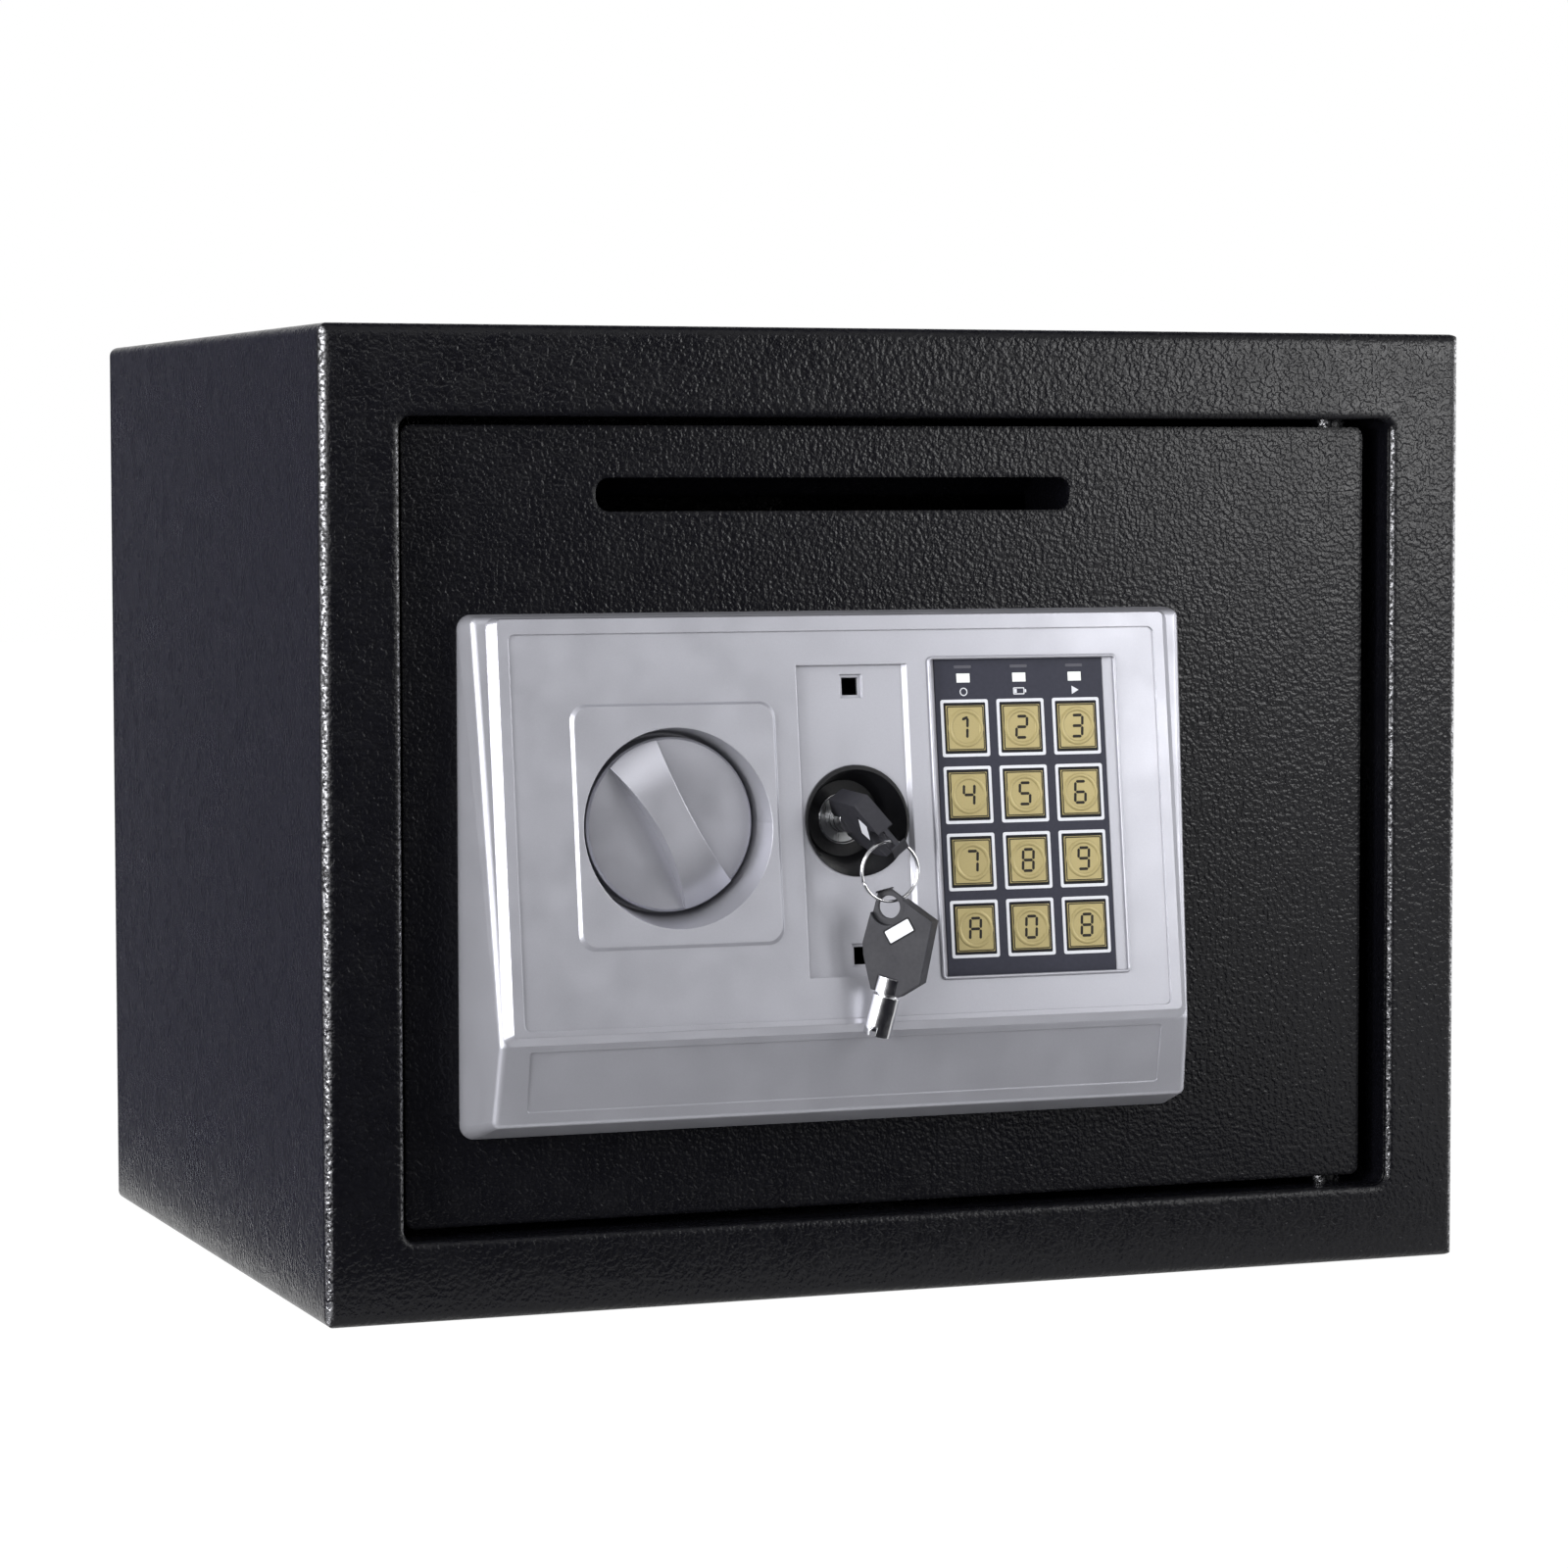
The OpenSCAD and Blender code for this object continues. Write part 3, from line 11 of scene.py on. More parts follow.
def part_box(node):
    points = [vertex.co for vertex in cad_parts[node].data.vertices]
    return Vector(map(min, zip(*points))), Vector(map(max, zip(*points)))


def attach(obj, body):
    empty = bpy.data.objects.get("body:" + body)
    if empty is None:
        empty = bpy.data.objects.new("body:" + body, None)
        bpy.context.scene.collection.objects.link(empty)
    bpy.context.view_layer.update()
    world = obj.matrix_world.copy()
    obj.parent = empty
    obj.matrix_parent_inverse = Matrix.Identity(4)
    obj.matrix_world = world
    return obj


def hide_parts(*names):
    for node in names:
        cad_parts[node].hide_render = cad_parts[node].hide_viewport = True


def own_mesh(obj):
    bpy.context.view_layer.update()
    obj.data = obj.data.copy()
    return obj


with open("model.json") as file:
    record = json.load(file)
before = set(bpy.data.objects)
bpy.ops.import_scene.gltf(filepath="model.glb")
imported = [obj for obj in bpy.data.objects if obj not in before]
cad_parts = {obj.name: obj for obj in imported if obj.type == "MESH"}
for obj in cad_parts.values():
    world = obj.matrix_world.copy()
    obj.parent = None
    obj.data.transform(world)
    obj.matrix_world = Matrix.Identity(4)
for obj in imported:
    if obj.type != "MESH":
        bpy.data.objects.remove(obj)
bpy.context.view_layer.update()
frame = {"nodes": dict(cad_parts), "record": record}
nodes = frame["nodes"]
MM = 0.001


def mm(*values):
    return Vector([v * MM for v in values])


# Camera: fitted to the edges of the box in the photograph
CAM_AZIMUTH, CAM_ELEVATION, CAM_ROLL = -20.709, 3.653, -0.09
CAM_DISTANCE, CAM_TARGET = 1440, (-47.51, -150, 160.729)
FOCAL_PX, FRAME_PX, SENSOR = 4814, 1600, 36


def make_camera():
    a, e, r = (math.radians(v) for v in (CAM_AZIMUTH, CAM_ELEVATION, CAM_ROLL))
    back = Vector((math.sin(a) * math.cos(e), -math.cos(a) * math.cos(e), math.sin(e)))
    right = Vector((0, 0, 1)).cross(back).normalized()
    up = back.cross(right)
    right, up = right * math.cos(r) + up * math.sin(r), up * math.cos(r) - right * math.sin(r)
    data = bpy.data.cameras.new("camera")
    data.sensor_width = SENSOR
    data.lens = SENSOR * FOCAL_PX / FRAME_PX
    cam = bpy.data.objects.new("camera", data)
    bpy.context.collection.objects.link(cam)
    cam.matrix_world = Matrix.Translation(mm(*CAM_TARGET) + back * CAM_DISTANCE * MM) @ Matrix(
        (right, up, back)).transposed().to_4x4()
    bpy.context.scene.camera = cam


make_camera()


# Materials
class Mat:
    """A Principled material, with short calls for the texture nodes that feed it. Its space is in metres."""

    def __init__(self, name, color, rough, metallic=0.0, specular=0.5, edge=0.0):
        self.mat = bpy.data.materials.new(name)
        self.mat.use_nodes = True
        self.tree = self.mat.node_tree
        self.shader = self.tree.nodes["Principled BSDF"]
        self.color = (*color, 1)
        self.shader.inputs["Base Color"].default_value = self.color
        self.shader.inputs["Roughness"].default_value = rough
        self.shader.inputs["Metallic"].default_value = metallic
        self.shader.inputs["Specular IOR Level"].default_value = specular
        self.space = self.node("ShaderNodeTexCoord").outputs["Object"]
        self.normal = None
        if edge:
            self.normal = self.rounded(edge)
            self.link(self.normal, self.shader.inputs["Normal"])

    def node(self, kind, **settings):
        made = self.tree.nodes.new(kind)
        for key, value in settings.items():
            setattr(made, key, value)
        return made

    def link(self, a, b):
        self.tree.links.new(a, b)

    def rounded(self, radius):
        """The surface's normal with its edges rounded to this radius in millimetres."""
        bevel = self.node("ShaderNodeBevel", samples=4)
        bevel.inputs["Radius"].default_value = radius * MM
        return bevel.outputs["Normal"]

    def upright_bends(self, low, high):
        """1 on the bends that run up and down, 0 on flat faces and on all other bends."""
        size = self.node("ShaderNodeVectorMath", operation="ABSOLUTE")
        self.link(self.node("ShaderNodeTexCoord").outputs["Normal"], size.inputs[0])
        parts = self.node("ShaderNodeSeparateXYZ")
        self.link(size.outputs["Vector"], parts.inputs[0])
        measure = parts.outputs["X"]
        for axis, operation in (("Y", "MAXIMUM"), ("Z", "ADD")):
            step = self.node("ShaderNodeMath", operation=operation)
            self.link(measure, step.inputs[0])
            self.link(parts.outputs[axis], step.inputs[1])
            measure = step.outputs[0]
        return self.band(measure, low, high)

    def stretched(self, scale):
        mapping = self.node("ShaderNodeMapping")
        mapping.inputs["Scale"].default_value = scale
        self.link(self.space, mapping.inputs["Vector"])
        return mapping.outputs["Vector"]

    def noise(self, cell, detail=2.0, rough=0.5, stretch=None):
        """Noise whose cells are about this many millimetres wide."""
        tex = self.node("ShaderNodeTexNoise")
        tex.inputs["Scale"].default_value = 1000.0 / cell
        tex.inputs["Detail"].default_value = detail
        tex.inputs["Roughness"].default_value = rough
        self.link(self.stretched(stretch) if stretch else self.space, tex.inputs["Vector"])
        return tex.outputs["Fac"]

    def cells(self, cell):
        """Rounded cells of about this many millimetres."""
        tex = self.node("ShaderNodeTexVoronoi")
        tex.inputs["Scale"].default_value = 1000.0 / cell
        self.link(self.space, tex.inputs["Vector"])
        return tex.outputs["Distance"]

    def band(self, value, low, high, out_low=0.0, out_high=1.0):
        """Runs from out_low to out_high while the value goes from low to high."""
        ramp = self.node("ShaderNodeMapRange")
        limits = {"From Min": low, "From Max": high, "To Min": out_low, "To Max": out_high}
        for key, number in limits.items():
            ramp.inputs[key].default_value = number
        self.link(value, ramp.inputs["Value"])
        return ramp.outputs["Result"]

    def tint(self, value, low, high):
        """Base colour runs between the material's colour times low and times high."""
        mix = self.node("ShaderNodeMix", data_type="RGBA")
        mix.inputs["A"].default_value = (*[c * low for c in self.color[:3]], 1)
        mix.inputs["B"].default_value = (*[min(1, c * high) for c in self.color[:3]], 1)
        self.link(value, mix.inputs["Factor"])
        self.link(mix.outputs["Result"], self.shader.inputs["Base Color"])
        return self

    def blend(self, value, other):
        """Lays another colour over the tinted base colour where value is 1."""
        mix = self.node("ShaderNodeMix", data_type="RGBA")
        base = self.shader.inputs["Base Color"]
        self.link(base.links[0].from_socket, mix.inputs["A"])
        mix.inputs["B"].default_value = (*other, 1)
        self.link(value, mix.inputs["Factor"])
        self.link(mix.outputs["Result"], base)
        return self

    def roughness(self, value, low, high):
        """Roughness runs between low and high with a noise value."""
        self.link(self.band(value, 0.3, 0.7, low, high), self.shader.inputs["Roughness"])
        return self

    def bump(self, height, depth):
        """A bump this many millimetres deep, over those made before it."""
        made = self.node("ShaderNodeBump")
        made.inputs["Distance"].default_value = depth * MM
        self.link(height, made.inputs["Height"])
        if self.normal:
            self.link(self.normal, made.inputs["Normal"])
        self.normal = made.outputs["Normal"]
        self.link(self.normal, self.shader.inputs["Normal"])
        return self


def powder_coat():
    """Black paint with an orange peel whose grains are about 1.5 mm wide, and a painted highlight on its
    upright bends.
    """
    m = Mat("body_paint", (0.0026, 0.0026, 0.0038), 0.26, specular=0.21, edge=2.0)
    grain = m.noise(1.5, 1.5)
    m.tint(grain, 0.6, 1.5)
    m.roughness(m.noise(9, 2), 0.22, 0.3)
    m.bump(m.band(grain, 0.36, 0.64), 0.12).bump(m.noise(0.6, 1), 0.01)
    # Painted highlight: lighter, partly metallic speckles along the upright bends, where the light gleams on
    # the edges
    painted_bend_highlight = m.node("ShaderNodeMath", operation="MULTIPLY")
    m.link(m.upright_bends(0.96, 0.82), painted_bend_highlight.inputs[0])
    m.link(m.band(m.noise(1.0, 1), 0.4, 0.6), painted_bend_highlight.inputs[1])
    # The painted highlight's lighter grey
    m.blend(painted_bend_highlight.outputs[0], (0.2, 0.2, 0.21))
    m.link(painted_bend_highlight.outputs[0], m.shader.inputs["Metallic"])
    return m.mat


def silver_paint(name, level, rough, metallic, edge, wave=0.012):
    """Silver lacquer on plastic; wave is the depth of its faint unevenness in millimetres."""
    m = Mat(name, (level, level * 1.005, level * 1.11), rough, metallic=metallic, specular=0.4, edge=edge)
    flake = m.noise(0.45, 2)
    m.tint(flake, 0.95, 1.05)
    m.roughness(m.noise(14, 3), rough - 0.04, rough + 0.06)
    m.bump(flake, wave / 2).bump(m.noise(2.6, 2), wave)
    return m.mat


def black_plastic(name, level, rough, specular, grain=0.4, edge=0.3):
    m = Mat(name, (level, level, level * 1.22), rough, specular=specular, edge=edge)
    m.tint(m.noise(grain * 3, 3), 0.75, 1.3)
    m.roughness(m.noise(8, 3), rough * 0.85, rough * 1.15)
    m.bump(m.cells(grain), 0.012)
    return m.mat


def film():
    m = Mat("overlay", (0.028, 0.029, 0.041), 0.4, specular=0.1, edge=0.15)
    m.tint(m.noise(1.2, 2), 0.85, 1.15)
    m.roughness(m.noise(5, 3), 0.34, 0.46)
    m.bump(m.noise(0.35, 2), 0.006)
    return m.mat


def printed(name, color, rough=0.45, specular=0.5):
    m = Mat(name, color, rough, specular=specular)
    m.tint(m.noise(0.9, 3), 0.93, 1.05)
    m.roughness(m.noise(3, 2), rough * 0.9, rough * 1.1)
    m.bump(m.noise(0.25, 2), 0.004)
    return m.mat


def gold_print():
    m = Mat("key_gold", (0.3, 0.25, 0.115), 0.34, metallic=0.25, specular=0.3, edge=0.2)
    m.tint(m.noise(0.35, 2), 0.86, 1.12)
    m.roughness(m.noise(4, 3), 0.28, 0.42)
    m.bump(m.noise(0.3, 2), 0.005)
    return m.mat


def bright_metal(name, color, rough, brushed=None):
    """Bare or plated metal; brushed is the stretch of its brush lines, if it has any."""
    m = Mat(name, color, rough, metallic=1.0, edge=0.2)
    if brushed:
        lines = m.noise(0.6, 3, 0.6, stretch=brushed)
        m.tint(lines, 0.82, 1.1)
        m.roughness(lines, rough * 0.8, rough * 1.25)
        m.bump(lines, 0.01)
    else:
        m.tint(m.noise(6, 2), 0.94, 1.03)
        m.roughness(m.noise(2.5, 3), rough * 0.85, rough * 1.15)
    return m.mat


def nylon():
    m = Mat("nylon", (0.72, 0.71, 0.66), 0.5, edge=0.3)
    m.tint(m.noise(5, 3), 0.92, 1.04)
    m.roughness(m.noise(4, 2), 0.42, 0.58)
    m.bump(m.noise(0.8, 2), 0.01)
    return m.mat


def circuit():
    m = Mat("board", (0.02, 0.16, 0.06), 0.35)
    m.tint(m.noise(7, 1), 0.7, 1.2)
    m.blend(m.band(m.noise(1.4, 0, stretch=(0.25, 1, 1)), 0.6, 0.62), (0.05, 0.28, 0.12))
    m.bump(m.noise(0.5, 2), 0.01)
    return m.mat


def winding():
    """Enamelled copper wire, with a turn about every 2 mm."""
    m = Mat("coil", (0.30, 0.05, 0.02), 0.35)
    wave = m.node("ShaderNodeTexWave", wave_type="BANDS", bands_direction="Z")
    wave.inputs["Scale"].default_value = 1000 / 6.28
    m.link(m.space, wave.inputs["Vector"])
    m.tint(wave.outputs["Fac"], 0.7, 1.15)
    m.bump(wave.outputs["Fac"], 0.1)
    return m.mat


def cell_wrap():
    m = Mat("cell", (0.50, 0.36, 0.08), 0.28, metallic=0.4, edge=0.4)
    m.tint(m.noise(3, 3), 0.9, 1.08)
    m.roughness(m.noise(4, 2), 0.22, 0.36)
    return m.mat


def felt():
    m = Mat("mat", (0.055, 0.055, 0.06), 0.95, specular=0.2)
    m.shader.inputs["Sheen Weight"].default_value = 0.4
    m.shader.inputs["Sheen Roughness"].default_value = 0.6
    fibre = m.noise(0.9, 4, 0.7, stretch=(1, 0.45, 1))
    m.tint(fibre, 0.5, 1.7)
    m.bump(fibre, 0.5).bump(m.noise(7, 3), 0.4)
    return m.mat


def frosted():
    m = Mat("indicator", (0.66, 0.68, 0.68), 0.3)
    m.tint(m.noise(1.1, 2), 0.92, 1.05)
    m.roughness(m.noise(1.5, 2), 0.22, 0.4)
    m.bump(m.noise(0.6, 1), 0.01)
    return m.mat


PAINT = powder_coat()
SILVER = silver_paint("panel", 0.345, 0.38, 0.6, 0.45)
KNOB = silver_paint("knob", 0.46, 0.33, 0.75, 0.4, 0.004)
BLACK = black_plastic("black_plastic", 0.012, 0.36, 0.3)
LOCK_BLACK = black_plastic("lock_black", 0.006, 0.24, 0.4, grain=0.2)
KEY_BLACK = black_plastic("key_black", 0.022, 0.5, 0.2, edge=0.5)
OVERLAY = film()
GOLD = gold_print()
WHITE_INK = printed("white_ink", (0.52, 0.53, 0.57))
DARK_INK = printed("dark_ink", (0.014, 0.012, 0.01), 0.5, 0.15)
BLACK_INK = printed("black_ink", (0.007, 0.007, 0.009), 0.5, 0.15)
# Lighter grey for the painted glints above the lights
PAINTED_GLINT_GREY = printed("painted_glint_grey", (0.07, 0.07, 0.085), 0.5, 0.2)
STEEL = bright_metal("steel", (0.52, 0.53, 0.54), 0.3, brushed=(1, 1, 0.08))
CHROME = bright_metal("chrome", (0.7, 0.7, 0.72), 0.22)
BRASS = bright_metal("brass", (0.62, 0.46, 0.19), 0.3, brushed=(1, 1, 0.1))
RED = printed("red_plastic", (0.45, 0.02, 0.02), 0.25)
FELT = felt()
# The look of each material slot in the record
LOOKS = {"body_paint": PAINT, "panel": SILVER, "knob": KNOB, "black_plastic": BLACK, "overlay": OVERLAY,
         "key_cap": GOLD, "indicator": frosted(), "nylon": nylon(), "steel": STEEL, "chrome": CHROME,
         "brass": BRASS, "board": circuit(), "coil": winding(), "cell": cell_wrap(), "red_plastic": RED,
         "mat": FELT}
# Pieces that look a little different from the rest of their slot
OWN_LOOKS = {"lock_cup": LOCK_BLACK, "lock_barrel": LOCK_BLACK, "door_key_bow": KEY_BLACK,
             "spare_key_bow": KEY_BLACK}


def dress(obj, mat):
    obj.data.materials.clear()
    obj.data.materials.append(mat)


for row in frame["record"]["subparts"]:
    dress(nodes[row["node"]], LOOKS[row["material_slot"]])
for name, look in OWN_LOOKS.items():
    dress(nodes[name], look)


# Mesh helpers: shapes are made in millimetres, in the space of a matrix
def new_object(name, bm, *materials):
    mesh = bpy.data.meshes.new(name)
    bm.to_mesh(mesh)
    bm.free()
    for one in materials:
        mesh.materials.append(one)
    obj = bpy.data.objects.new(name, mesh)
    bpy.context.collection.objects.link(obj)
    return obj


def piece(name, bm, body, mat, place=Matrix.Identity(4), smooth=False):
    """A visible piece of the object, made in millimetres, which moves with a body."""
    bm.transform(Matrix.Scale(MM, 4))
    bmesh.ops.recalc_face_normals(bm, faces=bm.faces)
    obj = new_object(name, bm, *(mat if isinstance(mat, list) else [mat]))
    if smooth:
        obj.data.polygons.foreach_set("use_smooth", [True] * len(obj.data.polygons))
    obj.matrix_world = place
    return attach(obj, body)


def outline(x0, x1, z0, z1, r, steps=5):
    """Points of a rounded rectangle, anticlockwise from its right side."""
    points = []
    corners = ((x1 - r, z1 - r, 0), (x0 + r, z1 - r, 90), (x0 + r, z0 + r, 180), (x1 - r, z0 + r, 270))
    for cx, cz, start in corners:
        for i in range(steps + 1):
            a = math.radians(start + 90 * i / steps)
            points.append((cx + r * math.cos(a), cz + r * math.sin(a)))
    return points


def centred(cx, cz, w, h, r, steps=5):
    """A rounded rectangle round a centre, w and h its half width and half height."""
    return outline(cx - w, cx + w, cz - h, cz + h, r, steps)


def turn_angles(n):
    return [2 * math.pi * i / n for i in range(n)]


def circle(cx, cz, r, n):
    return [(cx + r * math.cos(a), cz + r * math.sin(a)) for a in turn_angles(n)]


def join(bm, rings, closed=True, mat=0):
    """Skins loops of points with quads; the rings all have as many points."""
    made = [[bm.verts.new(p) for p in ring] for ring in rings]
    for a, b in zip(made, made[1:]):
        n = len(a)
        for i in range(n if closed else n - 1):
            bm.faces.new((a[i], a[(i + 1) % n], b[(i + 1) % n], b[i])).material_index = mat
    return made


def plate(bm, points, back, front, mat=0, bevel=0.0):
    """A flat plate with this outline, its front towards -Y, with a chamfer at the front edge."""
    def ring(y, inset):
        cx = sum(p[0] for p in points) / len(points)
        cz = sum(p[1] for p in points) / len(points)
        w = max(abs(p[0] - cx) for p in points)
        h = max(abs(p[1] - cz) for p in points)
        return [(cx + (p[0] - cx) * (1 - inset / w), y, cz + (p[1] - cz) * (1 - inset / h)) for p in points]
    rings = [ring(back, 0), ring(front + bevel, 0)] + ([ring(front, bevel)] if bevel else [])
    made = join(bm, rings, mat=mat)
    bm.faces.new(made[-1]).material_index = mat
    bm.faces.new(made[0]).material_index = mat


def line_frame(bm, outer, inner, back, front, mat=0):
    """A flat closed line between two outlines."""
    loops = [[(p[0], y, p[1]) for p in pts] for pts, y in
             ((inner, back), (outer, back), (outer, front), (inner, front), (inner, back))]
    made = join(bm, loops, mat=mat)
    bmesh.ops.remove_doubles(bm, verts=made[0] + made[-1], dist=1e-6)


TIP_SHARE = 0.4


def bar(bm, a, b, width, back, front, mat=0):
    """A straight flat stroke from a to b in the XZ plane, with a blunt point at each end."""
    d = Vector((b[0] - a[0], b[1] - a[1]))
    d.normalize()
    n = Vector((-d.y, d.x)) * width / 2
    tip = d * width * TIP_SHARE
    a, b = Vector(a), Vector(b)
    pts = [a + n, a - tip, a - n, b - n, b + tip, b + n]
    made = join(bm, [[(p.x, y, p.y) for p in pts] for y in (back, front)], mat=mat)
    for ring in made:
        bm.faces.new(ring).material_index = mat


def tube(bm, points, radius, n, closed=False):
    """A round wire with n sides along points."""
    pts = [Vector(p) for p in points]
    count = len(pts)
    side = None
    rings = []
    for i, p in enumerate(pts):
        ahead = pts[(i + 1) % count] if closed or i + 1 < count else p
        behind = pts[i - 1] if closed or i else p
        t = (ahead - behind).normalized()
        side = (side - t * side.dot(t)).normalized() if side else t.orthogonal().normalized()
        up = t.cross(side)
        rings.append([tuple(p + (side * math.cos(a) + up * math.sin(a)) * radius) for a in turn_angles(n)])
    if closed:
        rings.append(rings[0])
    made = join(bm, rings)
    if closed:
        bmesh.ops.remove_doubles(bm, verts=made[0] + made[-1], dist=1e-6)
    else:
        bm.faces.new(made[0])
        bm.faces.new(made[-1])


# The sloping face of the panel, and its space
FACE_TILT, RIDGE_Y, RIDGE_Z = 7.2408, -156.5, 84.5
FACE = Matrix.Translation(mm(0, RIDGE_Y, RIDGE_Z)) @ Matrix.Rotation(math.radians(-FACE_TILT), 4, "X")
KEY_COLUMNS, KEY_ROWS = (14.3, 33.2, 52.1), (92.5, 71.7, 50.9, 30.1)
KEY_W, KEY_H, KEY_FRONT, FILM_FRONT = 12.6, 14.0, -1.3, -0.9
KEY_INSET, LED_Z = 0.2, 108.1
KEYS = [["1", "2", "3"], ["4", "5", "6"], ["7", "8", "9"], ["a", "0", "b"]]
# Segments of a seven-segment digit: top, upper left, upper right, middle, lower left, lower right, bottom
SEGMENTS = {"1": "..#..#.", "2": "#.###.#", "3": "#.##.##", "4": ".###.#.", "5": "##.#.##", "6": "##.####",
            "7": "#.#..#.", "8": "#######", "9": "####.##", "a": "######.", "0": "###.###", "b": "#######"}
DOME_R, DOME_W, DOME_LIFT, DOME_STEPS, DOME_SIDES = 5.3, 1.3, 0.3, 8, 48
KEY_LINE, DIGIT_W, DIGIT_H, STROKE, SLANT = 0.3, 3.5, 6.6, 0.85, 0.06
# Shares: gap at a stroke's end of its width, shift of the 1 and start of its flag of half the digit's size
END_GAP, ONE_SHIFT, FLAG_X, FLAG_Z = 0.6, 0.7, 0.2, 0.82
# How far a print reaches into what carries it, and how far the parts of a key's face stand out
SUNK, FACE_LIFT, FACE_EDGE, DOME_BASE, BORDER_LIFT, DIGIT_LIFT = 0.02, 0.08, 0.05, 0.07, 0.1, 0.13
# The same for what is printed on the film
FRAME_LIFT, LINE_LIFT, MARK_LIFT = 0.06, 0.03, 0.04


def digit(bm, cx, cz, name, back, front, mat):
    """A plain seven-segment digit; the 1 stands in the middle and has a short flag."""
    w, h, g = DIGIT_W / 2, DIGIT_H / 2, STROKE * END_GAP
    if name == "1":
        cx -= w * ONE_SHIFT
        bar(bm, (cx + w * FLAG_X, cz + h * FLAG_Z), (cx + w, cz + h), STROKE, back, front, mat)
    lines = [((-w + g, h), (w - g, h)),
             ((-w, h - g), (-w, g)), ((w, h - g), (w, g)),
             ((-w + g, 0), (w - g, 0)),
             ((-w, -g), (-w, -h + g)), ((w, -g), (w, -h + g)),
             ((-w + g, -h), (w - g, -h))]
    for mark, (a, b) in zip(SEGMENTS[name], lines):
        if mark == "#":
            bar(bm, (cx + a[0] + a[1] * SLANT, cz + a[1]), (cx + b[0] + b[1] * SLANT, cz + b[1]),
                STROKE, back, front, mat)


def dome_ring(bm, cx, cz):
    """The round emboss that the dome under the key leaves in its face."""
    rings = []
    for k in range(DOME_STEPS + 1):
        a = math.pi * k / DOME_STEPS
        r, y = DOME_R - DOME_W / 2 * math.cos(a), KEY_FRONT - DOME_BASE - DOME_LIFT * math.sin(a)
        rings.append([(x, y, z) for x, z in circle(cx, cz, r, DOME_SIDES)])
    join(bm, rings)


def key_faces():
    """A gold face on each key, with a dark border, the dome's ring and its digit."""
    w, h = KEY_W / 2 - KEY_INSET, KEY_H / 2 - KEY_INSET
    for row, z in zip(KEYS, KEY_ROWS):
        for name, x in zip(row, KEY_COLUMNS):
            bm = bmesh.new()
            plate(bm, centred(x, z, w, h, 0.5), KEY_FRONT + SUNK, KEY_FRONT - FACE_LIFT, bevel=FACE_EDGE)
            line_frame(bm, centred(x, z, w, h, 0.4), centred(x, z, w - KEY_LINE, h - KEY_LINE, 0.3),
                       KEY_FRONT - SUNK, KEY_FRONT - BORDER_LIFT, 1)
            dome_ring(bm, x, z)
            digit(bm, x, z, name, KEY_FRONT - SUNK, KEY_FRONT - DIGIT_LIFT, 1)
            piece("key_face_" + name, bm, "button_" + name, [GOLD, DARK_INK], FACE)


FRAME_W, FRAME_H, FRAME_LINE, KEY_GAP = 16.0, 17.8, 0.95, 0.15


def key_frames():
    """A white frame with a black line inside it round each key, printed on the film."""
    w, h = FRAME_W / 2, FRAME_H / 2
    bm = bmesh.new()
    for z in KEY_ROWS:
        for x in KEY_COLUMNS:
            inner = centred(x, z, w - FRAME_LINE, h - FRAME_LINE, 0.35)
            line_frame(bm, centred(x, z, w, h, 0.7), inner, FILM_FRONT + SUNK, FILM_FRONT - FRAME_LIFT, 0)
            line_frame(bm, inner, centred(x, z, KEY_W / 2 + KEY_GAP, KEY_H / 2 + KEY_GAP, 0.3),
                       FILM_FRONT + SUNK, FILM_FRONT - LINE_LIFT, 1)
    piece("key_frames", bm, "door", [WHITE_INK, BLACK_INK], FACE)


MARK_Z, MARK, MARK_LINE, ARROW_TAIL = LED_Z - 4.3, 1.3, 0.32, 0.8
# The battery's sign: its middle from the key column, half its width and half its height
SIGN_X, SIGN_W, SIGN_H = -0.2, 1.9, 1.1
# The sign's pole and its charge: place from the middle, half width, half height and corner
POLE, CHARGE = (2.25, 0.25, 0.5, 0.1), (-1.1, 0.4, 0.65, 0.05)
# Painted glint above each light: its height, half width and half height
GLINT_Z, GLINT_W, GLINT_H = LED_Z + 3.5, 2.9, 0.45


def overlay_marks():
    """Plain signs under the three lights (ring, battery, arrow), and above each a faint lighter grey bar that
    is a painted glint.
    """
    bm = bmesh.new()
    back, front = FILM_FRONT + SUNK, FILM_FRONT - MARK_LIFT
    left, mid, right = KEY_COLUMNS
    line_frame(bm, circle(left, MARK_Z, MARK, 24), circle(left, MARK_Z, MARK - MARK_LINE, 24), back, front)
    mid += SIGN_X
    line_frame(bm, centred(mid, MARK_Z, SIGN_W, SIGN_H, 0.25, 2),
               centred(mid, MARK_Z, SIGN_W - MARK_LINE, SIGN_H - MARK_LINE, 0.1, 2), back, front)
    for across, w, h, corner in (POLE, CHARGE):
        plate(bm, centred(mid + across, MARK_Z, w, h, corner, 2), back, front)
    tail = right - MARK * ARROW_TAIL
    plate(bm, [(right + MARK, MARK_Z), (tail, MARK_Z + MARK), (tail, MARK_Z - MARK)], back, front)
    # Painted glint: a faint lighter grey bar above each light
    for x in KEY_COLUMNS:
        plate(bm, centred(x, GLINT_Z, GLINT_W, GLINT_H, 0.3, 3), back, front, 1)
    piece("overlay_marks", bm, "door", [WHITE_INK, PAINTED_GLINT_GREY], FACE)


key_faces()
key_frames()
overlay_marks()

KEYPAD_X, KEYPAD_Z, PLATE_FRONT = (2.75, 65.25), (15.5, 114.1), -2.5
BEAD_R, BEAD_OUT, BEAD_SUNK, BEAD_CORNER = 0.55, 0.3, 0.15, 1.2


